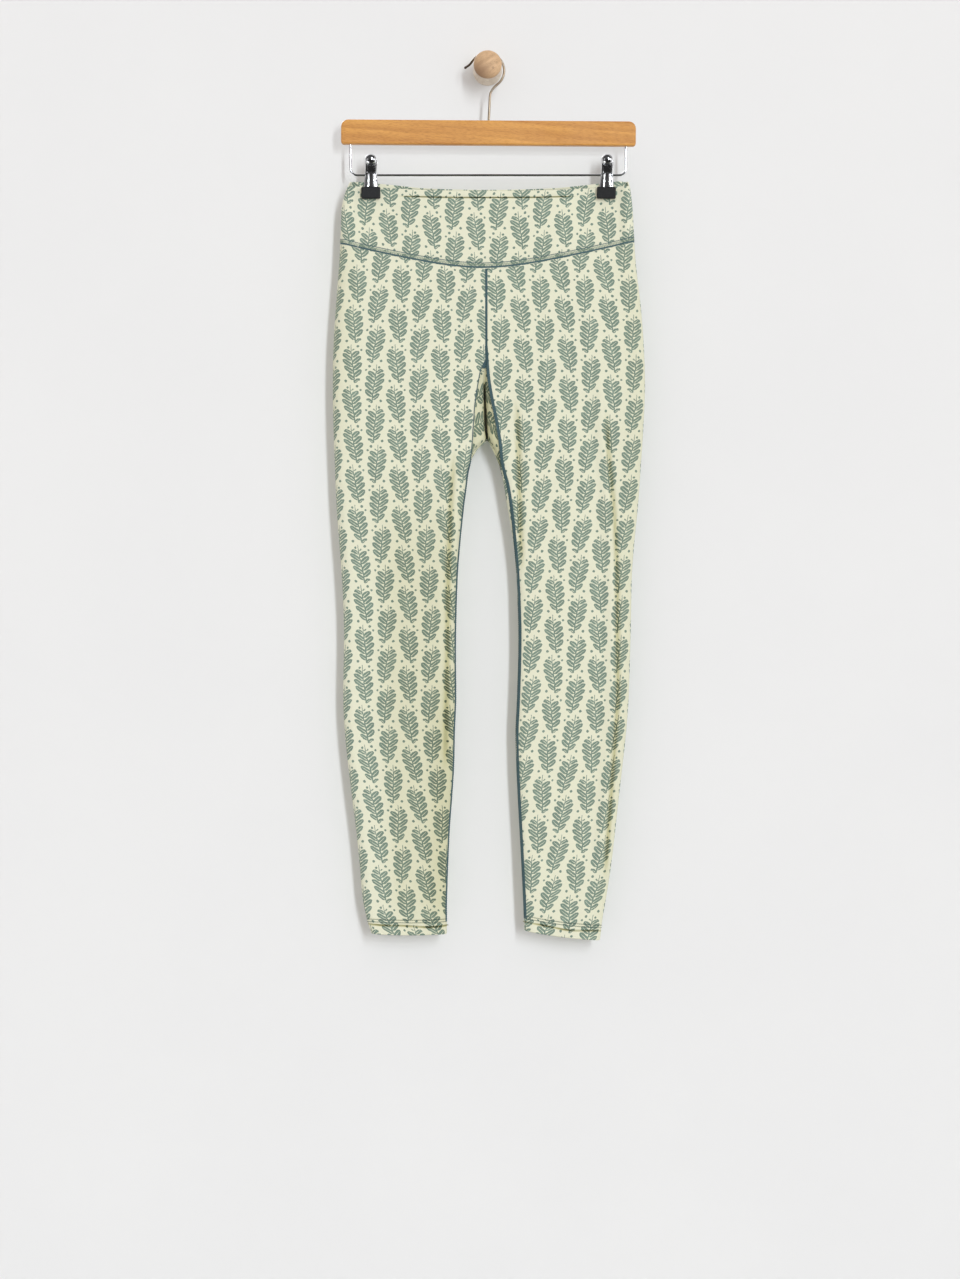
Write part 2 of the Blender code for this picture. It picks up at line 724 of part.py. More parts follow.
def leg_levels(side):
    """The heights of a leg's rows at its inner edge, from the waist seam to the turn of the hem."""
    corner = GUSSET_CORNER[side]
    low = HEMS[side].inner + HEM_HEIGHT
    step = (low - corner) / ROWS_BELOW_GUSSET
    below = [corner + step * i for i in range(1, ROWS_BELOW_GUSSET + 1)]
    return [*HIP_LEVELS, *GUSSET_LEVELS, corner], below + [low - HEM_STEP, low - HEM_HEIGHT]


def leg_columns(side, z, front):
    """The x of each column at height z, from the inner edge to the outer edge."""
    inner, outer = panel_edge(side, z, front), outer_edge(side, z)
    width = abs(outer - inner)
    way = math.copysign(1.0, outer - inner)
    start, stop = LEG_EDGE_STEPS[-1], width - LEG_EDGE_STEPS[-1]
    step = (stop - start) / LEG_MIDDLE_STEPS
    middle_columns = [start + step * i for i in range(1, LEG_MIDDLE_STEPS)]
    if front and side == "left" and z < RIDGE[0].z:
        ridge = min(smooth(RIDGE, z, "x") - inner, stop - RIDGE_CLEAR)
        hollow = ridge - HOLLOW_AWAY * RIDGE_WIDTH
        step = (hollow - start) / (LEG_MIDDLE_STEPS - 2)
        middle_columns = [start + step * i for i in range(1, LEG_MIDDLE_STEPS - 2)] + [hollow, ridge]
    away = [*LEG_EDGE_STEPS, *middle_columns, *(width - step for step in reversed(LEG_EDGE_STEPS))]
    return [inner + way * step for step in away]


def build_leg(side):
    """One leg: a single panel round the outer side, closed below the gusset along the inseam."""
    above, below = leg_levels(side)
    levels = [None] + above + below
    hem = HEMS[side]
    count = len(leg_columns(side, levels[-1], True))
    columns = [(k, True) for k in range(count)] + [(k, False) for k in reversed(range(count - 1))]
    grid = []
    for i, level in enumerate(levels):
        line = []
        for k, front in columns:
            z = level or levels[1]
            for _ in range(SETTLE_ROUNDS):
                x = leg_columns(side, z, front)[k]
                if i < 2:
                    seam = seam_height(x, front) - GAP / 2
                    z = seam + (levels[2] - seam) * i / 2
                elif level < HEM_SLANTS_FROM:
                    inner, outer = inner_edge(side, z), outer_edge(side, z)
                    across = abs(x - inner) / abs(outer - inner)
                    share = (HEM_SLANTS_FROM - level) / (HEM_SLANTS_FROM - hem.inner)
                    bow = hem.bow * math.sin(math.pi * across)
                    z = level + share * ((hem.outer - hem.inner) * across - bow)
            line.append(cloth(side, x, z, front))
        grid.append(line)
    last = len(grid) - 1

    def thickness(i):
        return HEM_WALL if i >= last - 1 else LEG_WALL

    wall(f"leg_{side}", grid, thickness, "cloth", flip=side == "left", closed_from=len(above))


def gusset_point(side, front, level, along, across):
    """A point of the gusset: along runs from its tip to the crotch, across from its fold to its seam."""
    tip = GUSSET_LEVELS[0] if front else GUSSET_BACK_TIP
    fold = tip + (CROTCH - tip) * along
    z = fold + (level - fold) * across**GUSSET_BEND
    inner = inner_edge(side, z)
    where = "front" if front else "back"
    outward = -1.0 if side == "right" else 1.0
    seam = smooth(GUSSET_SEAM, z, f"{side}_{where}") - outward * (GAP / 2 if front else GAP)
    if (seam - inner) * outward < 0:
        seam = inner
    x = inner + (seam - inner) * across ** (1 / max(1 - along, 0.05))
    return cloth(side, x, z, front)


def build_gusset():
    """The gusset, a kite folded down its middle between the two legs."""
    rows = [(i, level, True) for i, level in enumerate(GUSSET_LEVELS)]
    back_levels = [level for level in GUSSET_LEVELS if level <= GUSSET_BACK_TIP]
    rows.append((len(GUSSET_LEVELS), None, True))
    rows += [(i, level, False) for i, level in reversed(list(enumerate(back_levels)))]
    grid = []
    for i, level, front in rows:
        along = max(i / (len(GUSSET_LEVELS) if front else len(back_levels)), 0.02)
        line = []
        for k in range(GUSSET_COLUMNS + 1):
            edge = level or GUSSET_CORNER["right"] + GUSSET_END
            line.append(gusset_point("right", front, edge, along, 1 - k / GUSSET_COLUMNS))
        for k in range(GUSSET_COLUMNS + 1):
            edge = level or GUSSET_CORNER["left"] + GUSSET_END
            line.append(gusset_point("left", front, edge, along, k / GUSSET_COLUMNS))
        grid.append(line)
    wall("gusset", grid, lambda i: LEG_WALL, "cloth", flip=True)


def main():
    for old in list(bpy.data.objects):
        bpy.data.objects.remove(old, do_unlink=True)
    build_peg()
    build_hook()
    build_bar()
    build_frame()
    for clip in CLIPS:
        build_clip(clip)
    for front in (True, False):
        build_band(front)
    for side in ("right", "left"):
        build_leg(side)
    build_gusset()


main()
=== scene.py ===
# %% [markdown]
# # Printed leggings on a clip hanger
#
# A pair of ankle-length leggings hangs flat against a wall. Two spring clips hold its waistband, the
# clips slide on a wire under a wooden bar, and the bar's hook hangs over a round peg. The solid model
# already has every piece at its real size. This lesson gives the pieces their looks: cloth with folds,
# hems, print and stitching, grained wood, bent chrome and rubber.

# %% Load the solid model
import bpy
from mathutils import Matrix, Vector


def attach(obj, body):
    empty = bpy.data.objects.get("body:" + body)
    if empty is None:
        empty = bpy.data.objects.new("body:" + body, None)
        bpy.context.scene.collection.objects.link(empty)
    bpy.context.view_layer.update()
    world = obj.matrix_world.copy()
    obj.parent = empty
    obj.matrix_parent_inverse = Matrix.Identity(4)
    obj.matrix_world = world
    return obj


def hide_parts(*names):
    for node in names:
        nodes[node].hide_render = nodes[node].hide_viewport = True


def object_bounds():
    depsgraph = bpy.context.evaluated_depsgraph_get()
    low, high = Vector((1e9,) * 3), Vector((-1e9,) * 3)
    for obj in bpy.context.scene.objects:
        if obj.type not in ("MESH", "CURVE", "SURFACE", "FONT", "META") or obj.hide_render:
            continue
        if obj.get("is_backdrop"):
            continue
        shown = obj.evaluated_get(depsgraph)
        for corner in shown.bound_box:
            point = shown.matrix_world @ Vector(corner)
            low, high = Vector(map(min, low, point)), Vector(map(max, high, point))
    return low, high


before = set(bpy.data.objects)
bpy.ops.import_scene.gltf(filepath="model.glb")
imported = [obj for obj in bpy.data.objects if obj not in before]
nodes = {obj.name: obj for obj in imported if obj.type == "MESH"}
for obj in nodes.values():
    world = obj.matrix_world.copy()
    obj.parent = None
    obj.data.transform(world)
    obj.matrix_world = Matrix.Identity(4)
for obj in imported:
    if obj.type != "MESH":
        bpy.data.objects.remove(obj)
cad_box = [list(corner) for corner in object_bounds()]

import math
from collections import namedtuple

import bmesh
import bpy
import numpy as np
from mathutils import Matrix, Vector

MM = 0.001
FRONT, BACK = True, False
FACE_NAME = {FRONT: "front", BACK: "back"}
OUTWARD = {"right": -1.0, "left": 1.0}
print(f"{len(nodes)} solid pieces, {1000 * (cad_box[1][2] - cad_box[0][2]):.0f} mm from top to hem")

# %% [markdown]
# ## Camera
#
# Clothes are shown straight on from far away, so that nothing is distorted. The camera stands level
# with the middle of the picture, and its lens follows from how many millimetres one pixel of the
# picture covers at the cloth. The picture is taller than wide, so the sensor's size is that of its
# long, upright side.
#
# The plain view transform keeps pale colours as they are, where a film-like one would grey them.

# %% Place the camera
PICTURE_HEIGHT = 1279
PIXEL_AT_CLOTH = 1.27
CLOTH_Y = -31.0
CAMERA_AT = (-9.74, -3700.0, -727.5)
SENSOR = 36.0


def put_in_scene(name, data):
    """An object that shows this camera, lamp, mesh or curve."""
    made = bpy.data.objects.new(name, data)
    bpy.context.scene.collection.objects.link(made)
    return made


camera = put_in_scene("camera", bpy.data.cameras.new("camera"))
camera.location = Vector(CAMERA_AT) * MM
camera.rotation_euler = (math.radians(90), 0, 0)
camera.data.sensor_width = SENSOR
camera.data.lens = SENSOR * (CLOTH_Y - CAMERA_AT[1]) / (PICTURE_HEIGHT * PIXEL_AT_CLOTH)
bpy.context.scene.camera = camera
bpy.context.scene.view_settings.view_transform = "Standard"
print(f"lens {camera.data.lens:.1f} mm")

# %% [markdown]
# ## Nodes written as arithmetic
#
# A procedural pattern is a formula that is worked out at every point of the surface. In Blender that
# formula is a chain of Math nodes. Wiring a hundred of them by hand is slow, so a small class stands
# for "a number that varies over the surface": adding or multiplying two of them adds the Math node
# and its links. The formula can then be read and changed like ordinary arithmetic.


# %% A number that varies over the surface
class Field:
    def __init__(self, tree, socket):
        self.tree = tree
        self.socket = socket

    def math(self, operation, *others):
        return math_node(self.tree, operation, self, *others)

    def __add__(self, other):
        return self.math("ADD", other)

    def __sub__(self, other):
        return self.math("SUBTRACT", other)

    def __rsub__(self, other):
        return math_node(self.tree, "SUBTRACT", other, self)

    def __mul__(self, other):
        return self.math("MULTIPLY", other)

    def __truediv__(self, other):
        return self.math("DIVIDE", other)

    def __pow__(self, other):
        return self.math("POWER", other)

    def __abs__(self):
        return self.math("ABSOLUTE")

    __radd__ = __add__
    __rmul__ = __mul__

    def at_most(self, other):
        return self.math("MINIMUM", other)

    def at_least(self, other):
        return self.math("MAXIMUM", other)

    def above(self, limit):
        return self.math("GREATER_THAN", limit)

    def rise(self, low, high):
        """0 below low, 1 above high, with a soft step between."""
        step = add_node(self.tree, "ShaderNodeMapRange", {"Value": self, "From Min": low, "From Max": high})
        step.interpolation_type = "SMOOTHSTEP"
        return Field(self.tree, step.outputs["Result"])


print("Field ready")


# %% Nodes in one line each
def join(tree, value, socket):
    """Put a number on a socket, or link another node's output to it."""
    if isinstance(value, Field):
        tree.links.new(value.socket, socket)
    elif isinstance(value, bpy.types.NodeSocket):
        tree.links.new(value, socket)
    else:
        socket.default_value = value


def add_node(tree, kind, inputs=None, **settings):
    made = tree.nodes.new(kind)
    for name, value in settings.items():
        setattr(made, name, value)
    for key, value in (inputs or {}).items():
        join(tree, value, made.inputs[key])
    return made


def math_node(tree, operation, *values):
    made = add_node(tree, "ShaderNodeMath", operation=operation)
    for socket, value in zip(made.inputs, values):
        join(tree, value, socket)
    return Field(tree, made.outputs[0])


def noise(tree, point, scale, detail=2.0, roughness=0.5):
    """Soft cloudy noise, mostly between 0.3 and 0.7."""
    inputs = {"Vector": point, "Scale": scale, "Detail": detail, "Roughness": roughness}
    return Field(tree, add_node(tree, "ShaderNodeTexNoise", inputs).outputs[0])


def mix_colours(tree, share, first, second, blend="MIX"):
    """first where share is 0, second where it is 1. Sockets 6 and 7 are the two colours."""
    made = add_node(tree, "ShaderNodeMix", data_type="RGBA", blend_type=blend)
    for key, value in ((0, share), (6, first), (7, second)):
        join(tree, value, made.inputs[key])
    return made.outputs[2]


def stretched(tree, point, stretch):
    """The point's coordinates, each times its own number."""
    made = add_node(tree, "ShaderNodeVectorMath", {0: point, 1: stretch}, operation="MULTIPLY")
    return made.outputs[0]


def measure(tree, operation, first, second):
    """One number from two vectors: their DISTANCE or their DOT_PRODUCT."""
    made = add_node(tree, "ShaderNodeVectorMath", {0: first, 1: second}, operation=operation)
    return Field(tree, made.outputs["Value"])


def split(tree, point):
    """A point's X, Y and Z, each as a field."""
    return [Field(tree, part) for part in add_node(tree, "ShaderNodeSeparateXYZ", {0: point}).outputs]


def on_object(tree):
    """Where the surface's point is on its own object, in metres."""
    return add_node(tree, "ShaderNodeTexCoord").outputs["Object"]


def on_cloth(tree):
    """Where the surface's point is on the flat cloth, in metres."""
    return add_node(tree, "ShaderNodeUVMap", uv_map="cloth").outputs[0]


print("node helpers ready")


# %% Groups and materials in one line each
def new_group(name, inputs, outputs):
    """A shader node group. inputs are (name, kind, value), outputs (name, kind)."""
    tree = bpy.data.node_groups.new(name, "ShaderNodeTree")
    for label, kind, value in inputs:
        socket = tree.interface.new_socket(label, in_out="INPUT", socket_type=kind)
        if value is not None:
            socket.default_value = value
    for label, kind in outputs:
        tree.interface.new_socket(label, in_out="OUTPUT", socket_type=kind)
    return tree, tree.nodes.new("NodeGroupInput").outputs, tree.nodes.new("NodeGroupOutput").inputs


def place_group(tree, group, inputs):
    made = add_node(tree, "ShaderNodeGroup", node_tree=group)
    for key, value in inputs.items():
        join(tree, value, made.inputs[key])
    return made.outputs


def new_material(name, **numbers):
    """A material with one Principled shader. numbers are set on its sockets."""
    material = bpy.data.materials.new(name)
    material.use_nodes = True
    shader = material.node_tree.nodes["Principled BSDF"]
    for key, value in numbers.items():
        shader.inputs[key.replace("_", " ")].default_value = value
    return material, material.node_tree, shader


def add_bump(tree, shader, height, distance, strength=1.0):
    """Relief too fine for the mesh: height of 1 stands for distance, in metres."""
    bump = add_node(tree, "ShaderNodeBump", {"Height": height, "Distance": distance, "Strength": strength})
    tree.links.new(bump.outputs[0], shader.inputs["Normal"])


def rgb(red, green, blue):
    return (red, green, blue, 1.0)


FLOAT, COLOUR, VECTOR = "NodeSocketFloat", "NodeSocketColor", "NodeSocketVector"
print("group and material helpers ready")

# %% [markdown]
# ## Wall, floor and light
#
# The studio is a pale wall, a pale floor and a tall, narrow soft box to the right. Such a light draws
# crisp shadows beside a piece and soft ones below it. A column of Sun lamps stands for the box: they
# give the same strength everywhere on the tall wall, and their angle is the box's width. The rest of
# the light comes from the world, which is pale all round.
#
# The wall would hide the piece in a view from behind, so its material is see-through from its back
# face. A second, weak lamp lights the back of the piece. Light linking keeps the wall and the floor
# from blocking the lamps, because the lowest part of the soft box shines slightly upward. The highest
# parts also shine past the hanger's bar, which would otherwise put the clips below it in the dark.

# %% Wall and floor
WALL_BEHIND = 0.4
FLOOR_LOW = -1610.0
ROOM = 6000.0
WALL_TOP = 2600.0


def paint(name, roughness, clouds, dark, light, grain, depth):
    """Matt paint with a faint mottle and a fine grain."""
    material, tree, shader = new_material(name, Roughness=roughness)
    place = on_object(tree)
    mottle = noise(tree, place, *clouds).rise(0.3, 0.7)
    join(tree, mix_colours(tree, mottle, dark, light), shader.inputs["Base Color"])
    add_bump(tree, shader, noise(tree, place, grain, 3.0), depth)
    return material


def clear_from_behind(material):
    """See-through where the panel's back is looked at."""
    tree = material.node_tree
    painted = tree.nodes["Principled BSDF"].outputs[0]
    clear = add_node(tree, "ShaderNodeBsdfTransparent").outputs[0]
    behind = add_node(tree, "ShaderNodeNewGeometry").outputs["Backfacing"]
    both = add_node(tree, "ShaderNodeMixShader", {0: behind, 1: painted, 2: clear})
    join(tree, both.outputs[0], tree.nodes["Material Output"].inputs["Surface"])


def flat_panel(name, corners, material):
    mesh = bpy.data.meshes.new(name)
    mesh.from_pydata([Vector(corner) * MM for corner in corners], [], [(0, 1, 2, 3)])
    mesh.materials.append(material)
    made = put_in_scene(name, mesh)
    made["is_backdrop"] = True
    return made


WALL_DARK, WALL_LIGHT = rgb(0.764, 0.764, 0.766), rgb(0.775, 0.775, 0.775)
FLOOR_DARK, FLOOR_LIGHT = rgb(0.74, 0.74, 0.735), rgb(0.765, 0.765, 0.76)
wall_paint = paint("wall_paint", 0.75, (3.0, 3.0), WALL_DARK, WALL_LIGHT, 900.0, 0.00005)
clear_from_behind(wall_paint)
floor_paint = paint("floor_paint", 0.6, (2.0, 4.0), FLOOR_DARK, FLOOR_LIGHT, 400.0, 0.0001)
low_left, low_right = (-ROOM, WALL_BEHIND, FLOOR_LOW), (ROOM, WALL_BEHIND, FLOOR_LOW)
high_left, high_right = (-ROOM, WALL_BEHIND, WALL_TOP), (ROOM, WALL_BEHIND, WALL_TOP)
wall = flat_panel("wall", (low_left, low_right, high_right, high_left), wall_paint)
around = ((-1, -1), (1, -1), (1, 1), (-1, 1))
floor = flat_panel("floor", [(ROOM * x, ROOM * y, FLOOR_LOW) for x, y in around], floor_paint)
floor.visible_glossy = False
print("wall", [round(v, 2) for v in wall.dimensions], "floor at", FLOOR_LOW * MM)

# %% World
AMBIENT = 0.73
AMBIENT_COLOUR = rgb(1.0, 0.94, 0.905)
BACKGROUND = 0.86
STUDIO_FLOOR, STUDIO_CEILING = 0.022, 0.055
SOFT_BOX_RIM = 0.03
SoftBox = namedtuple("SoftBox", "direction edge strength")
SOFT_BOXES = (
    SoftBox((0.85, -0.53, 0.02), 0.945, 1.9),
    SoftBox((-0.69, -0.25, -0.68), 0.93, 1.5),
    SoftBox((-0.75, -0.65, 0.05), 0.972, 0.9),
    SoftBox((-1.0, 0.12, 0.0), 0.962, 1.0),
    SoftBox((1.0, 0.12, 0.0), 0.950, 0.75),
)


def studio_world():
    """Pale all round. Shiny pieces see a dark studio with soft boxes, which draws their shape."""
    world = bpy.data.worlds.new("studio")
    world.use_nodes = True
    tree = world.node_tree
    background = tree.nodes["Background"]
    way = add_node(tree, "ShaderNodeTexCoord").outputs["Generated"]
    path = add_node(tree, "ShaderNodeLightPath").outputs
    seen = STUDIO_FLOOR + split(tree, way)[2].rise(-0.3, 0.5) * STUDIO_CEILING
    for box in SOFT_BOXES:
        towards = measure(tree, "DOT_PRODUCT", way, Vector(box.direction).normalized())
        seen = seen + towards.rise(box.edge, box.edge + SOFT_BOX_RIM) * box.strength
    shiny = Field(tree, path["Is Glossy Ray"])
    by_eye = Field(tree, path["Is Camera Ray"])
    strength = (1 - shiny) * AMBIENT + shiny * seen
    strength = (1 - by_eye) * strength + by_eye * BACKGROUND
    join(tree, strength, background.inputs["Strength"])
    soft = 1 - shiny.at_least(by_eye)
    tint = mix_colours(tree, soft, rgb(1.0, 1.0, 1.0), AMBIENT_COLOUR)
    join(tree, tint, background.inputs["Color"])
    return world


bpy.context.scene.world = studio_world()
print("ambient", AMBIENT, "and", len(SOFT_BOXES), "soft boxes in the reflections")

# %% Lamps
KEY_RIGHT = 19.0
KEY_ANGLE = 6.0
KEY_STRENGTH = 1.58
KEY_COLOUR = (0.913, 0.968, 1.0)
KeyPart = namedtuple("KeyPart", "up share")
KEY_PARTS = (KeyPart(-6, 0.05), KeyPart(2, 0.21), KeyPart(10, 0.29), KeyPart(18, 0.27), KeyPart(27, 0.18))
ABOVE_BAR = 14
BackLight = namedtuple("BackLight", "right up strength angle")
BACK_LIGHT = BackLight(-25.0, 30.0, 1.5, 30.0)


def sun_lamp(name, right, up, strength, angle, behind=False):
    """A Sun lamp that shines from so many degrees right of and above the line of view."""
    lamp = bpy.data.lights.new(name, "SUN")
    lamp.energy = strength
    lamp.angle = math.radians(angle)
    made = put_in_scene(name, lamp)
    right, up = math.radians(right), math.radians(up)
    towards = Vector((math.sin(right), math.cos(right) if behind else -math.cos(right), 0)) * math.cos(up)
    towards.z = math.sin(up)
    made.rotation_euler = towards.to_track_quat("Z", "Y").to_euler()
    return made


def linked_without(name, *excluded):
    """A collection for light linking: all but these objects take part."""
    made = bpy.data.collections.new(name)
    for stage_piece in excluded:
        made.objects.link(stage_piece)
    for member in made.collection_objects:
        member.light_linking.link_state = "EXCLUDE"
    return made


lets_light_by = linked_without("lets_light_by", wall, floor)
passes_bar = linked_without("passes_bar", wall, floor, nodes["hanger_bar"])
for part in KEY_PARTS:
    key_light = sun_lamp("key_light", KEY_RIGHT, part.up, KEY_STRENGTH * part.share, KEY_ANGLE)
    key_light.data.color = KEY_COLOUR
    key_light.light_linking.blocker_collection = passes_bar if part.up > ABOVE_BAR else lets_light_by
back_light = sun_lamp("back_light", *BACK_LIGHT, behind=True)
back_light.light_linking.blocker_collection = lets_light_by
back_light.light_linking.receiver_collection = linked_without("lit_from_behind", wall, floor)
print("key light", KEY_STRENGTH, "from", len(KEY_PARTS), "lamps")

# %% [markdown]
# ## The printed jersey
#
# The leggings are cut from stretch jersey with a block print in sage green on cream. The print here is
# a made-up fern: one sprig repeats in columns, each second column is turned over and set half a repeat
# higher, and a few berries fill the gaps.
#
# A print belongs to the flat cloth, so the pattern is not projected from the front. Every piece of
# cloth carries a UV map named "cloth", which gives each point its place on the flat cloth in metres.
# The sprig is a formula on those two numbers: a bent stem, leaves set at an angle on both sides of it,
# a pale vein in each leaf. Noise moves the outline a little, like a hand-cut block.

# %% One sprig of the fern
COLUMN = 43.0
REPEAT = 78.0
LEAF_ANGLE = math.radians(52)
LEAF_PITCH = 12.6
LEAF_LENGTH = 23.0
LEAF_HALF = 5.3
STEM_BEND, STEM_WIDTH, STEM_TAPER = 4.0, 0.90, 0.70
Berry = namedtuple("Berry", "x share radius")
BERRIES = (
    Berry(-9.5, 0.43, 2.6),
    Berry(9.0, 0.40, 2.3),
    Berry(12.6, -0.44, 2.6),
    Berry(-13.0, -0.40, 2.3),
    Berry(15.6, 0.31, 2.1),
    Berry(-16.4, 0.335, 2.1),
    Berry(-4.5, -0.462, 1.7),
)


def fern(tree, x, y):
    """1 where the block leaves ink, at x, y in millimetres on a print of full size."""
    column = (x / COLUMN).math("FLOOR")
    odd = column.math("FLOORED_MODULO", 2.0)
    y = y + odd * (REPEAT / 2)
    row = (y / REPEAT).math("FLOOR")
    x = (x - (column + 0.5) * COLUMN) * (1 - 2 * odd)
    y = y - (row + 0.5) * REPEAT
    from_stem = x - (y * (math.pi / REPEAT)).math("SINE") * STEM_BEND
    far = abs(from_stem)
    stem_width = STEM_WIDTH - y * (STEM_TAPER / REPEAT)
    stem = (stem_width - far).rise(-0.2, 0.2) * (1 - abs(y).above(0.47 * REPEAT))
    leaf = fern_leaf(far, y, from_stem.above(0.0))
    ink = stem.at_least(leaf)
    spot = add_node(tree, "ShaderNodeCombineXYZ", {"X": x, "Y": y}).outputs[0]
    for berry in BERRIES:
        centre = (berry.x, berry.share * REPEAT, 0.0)
        ink = ink.at_least((berry.radius - measure(tree, "DISTANCE", spot, centre)).rise(-0.25, 0.25))
    return ink


def fern_leaf(far, y, on_right):
    """The leaves of one sprig: far is the distance from the stem, y the height."""
    sine, cosine = math.sin(LEAF_ANGLE), math.cos(LEAF_ANGLE)
    step = LEAF_PITCH * sine
    count = (far * cosine - y * sine) / step + (1 - on_right) * 0.5
    across = (count.math("FRACT") - 0.5) * step
    along = ((far - across * cosine) / sine).at_least(0.0)
    foot = (y - along * cosine) / REPEAT
    taper = (1 - (abs(foot + 0.10) / 0.44) ** 2.2).at_least(0.0).at_most(1.0) ** 0.55
    length = taper * LEAF_LENGTH
    length = (length * length.above(6.0)).at_least(0.01)
    share = (along / length).at_most(1.0)
    half = ((share * (1 - share) * 4) ** 0.55) * LEAF_HALF * (taper * 1.15).at_most(1.0)
    half = half.at_most(step / 2 - 0.55)
    width = abs(across)
    vein = ((1 - share) * 0.62 + 0.12 - width).rise(-0.2, 0.2) * share.above(0.10) * (1 - share.above(0.86))
    beyond = (along / length).above(1.0)
    return (half - width).rise(-0.25, 0.25) * (1 - vein) * (1 - beyond)


print("each sprig has", len(BERRIES), "berries round it")

# %% The fern print as a node group
CREAM = rgb(0.845, 0.845, 0.660)
SAGE = rgb(0.200, 0.285, 0.228)
CHALKY_SAGE = rgb(0.270, 0.372, 0.300)
PRINT_SIZE = 0.65


def print_group():
    tree, given, out = new_group(
        "Fern print",
        (
            ("Cloth", VECTOR, None),
            ("Size", FLOAT, PRINT_SIZE),
            ("Ground", COLOUR, CREAM),
            ("Ink", COLOUR, SAGE),
            ("Thin Ink", COLOUR, CHALKY_SAGE),
        ),
        (("Color", COLOUR), ("Mask", FLOAT)),
    )
    scale = math_node(tree, "DIVIDE", 1.0 / MM, given["Size"])
    place = add_node(tree, "ShaderNodeVectorMath", {0: given["Cloth"], "Scale": scale}, operation="SCALE")
    place = place.outputs[0]
    aside = add_node(tree, "ShaderNodeVectorMath", {0: place, 1: (61.0, 17.0, 5.0)}).outputs[0]
    x, y = split(tree, place)[:2]
    x = x + (noise(tree, place, 0.33, 1.0) - 0.5) * 2.0
    y = y + (noise(tree, aside, 0.33, 1.0) - 0.5) * 2.0
    ink = fern(tree, x, y)
    patchy = noise(tree, aside, 0.05, 1.0) - 0.5
    thin = (noise(tree, aside, 0.62, 2.0) + patchy * 0.7).rise(0.5, 0.68)
    inked = mix_colours(tree, thin * 0.75, given["Ink"], given["Thin Ink"])
    join(tree, mix_colours(tree, ink, given["Ground"], inked), out["Color"])
    join(tree, ink, out["Mask"])
    return tree


fern_print = print_group()
print("fern print:", len(fern_print.nodes), "nodes, a sprig every", PRINT_SIZE * REPEAT, "mm")

# %% [markdown]
# Jersey is knitted: columns of small V-shaped loops, about twenty to the centimetre here. They are far
# too fine to model, so the knit is a height for a Bump node, worked out from the same flat
# coordinates. Seen close it shows the loops, and from afar it only makes the surface matt.

# %% The knit as a node group
WALE = 0.5
COURSE = 0.42


def knit_group():
    tree, given, out = new_group(
        "Jersey knit",
        (("Cloth", VECTOR, None), ("Wale", FLOAT, WALE), ("Course", FLOAT, COURSE)),
        (("Height", FLOAT), ("Shade", FLOAT)),
    )
    x, y = split(tree, given["Cloth"])[:2]
    x = x / math_node(tree, "MULTIPLY", given["Wale"], MM)
    y = y / math_node(tree, "MULTIPLY", given["Course"], MM)
    from_middle = abs(x.math("FRACT") - 0.5)
    slant = y + from_middle * 1.3
    loop = (slant * (2 * math.pi)).math("SINE") * 0.5 + 0.5
    rib = (from_middle * (2 * math.pi)).math("SINE").at_least(0.0)
    height = rib * (loop * 0.6 + 0.4)
    join(tree, height, out["Height"])
    # Shade is painted shade in the grooves between the loops.
    join(tree, 1 - (1 - height) * 0.16, out["Shade"])
    return tree


jersey_knit = knit_group()
print("knit:", WALE, "by", COURSE, "mm loops")

# %% [markdown]
# The printed outside and the paler inside are the same cloth with other colours. Between folds and
# under stitches cloth loses light, and creases of a millimetre are too tight for the lamps alone. So
# each point of the mesh keeps a number, fold_shade, and a Color Ramp turns it into a tint.

# %% The jersey's materials
CREASE_TINTS = (
    (0.0, rgb(1.0, 1.0, 1.0)),
    (0.33, rgb(0.70, 0.68, 0.50)),
    (0.65, rgb(0.30, 0.30, 0.16)),
    (1.0, rgb(0.02, 0.02, 0.01)),
)
CREASED_INK = 0.45


def colour_ramp(tree, value, stops):
    made = add_node(tree, "ShaderNodeValToRGB", {"Fac": value})
    marks = made.color_ramp.elements
    while len(marks) < len(stops):
        marks.new(0.5)
    for mark, (place, colour) in zip(marks, stops):
        mark.position = place
        mark.color = colour
    return made.outputs["Color"]


def jersey_material(name, ground, ink, thin_ink, knit_depth):
    """Knitted cloth with the fern print. fold_shade is 1 in the bottom of a tight crease."""
    sheen = {"Sheen_Weight": 0.12, "Sheen_Roughness": 0.5}
    material, tree, shader = new_material(name, Specular_IOR_Level=0.25, **sheen)
    cloth = on_cloth(tree)
    colours = {"Cloth": cloth, "Ground": ground, "Ink": ink, "Thin Ink": thin_ink}
    printed = place_group(tree, fern_print, colours)
    knit = place_group(tree, jersey_knit, {"Cloth": cloth})
    tint = mix_colours(tree, 1.0, printed["Color"], knit["Shade"], blend="MULTIPLY")
    crease = add_node(tree, "ShaderNodeAttribute", attribute_name="fold_shade").outputs["Fac"]
    dimmed = colour_ramp(tree, crease, CREASE_TINTS)
    inked = Field(tree, printed["Mask"])
    # Painted shade: where fold_shade is high the ink is darkened further.
    deepened = 1 - inked * Field(tree, crease).rise(0.0, 0.45) * CREASED_INK
    tint = mix_colours(tree, 1.0, tint, deepened, blend="MULTIPLY")
    join(tree, mix_colours(tree, 1.0, tint, dimmed, blend="MULTIPLY"), shader.inputs["Base Color"])
    join(tree, 0.86 - inked * 0.08, shader.inputs["Roughness"])
    fluff = noise(tree, cloth, 260.0, 4.0, 0.6)
    height = Field(tree, knit["Height"]) * 0.7 + fluff * 0.5
    add_bump(tree, shader, height, knit_depth)
    return material


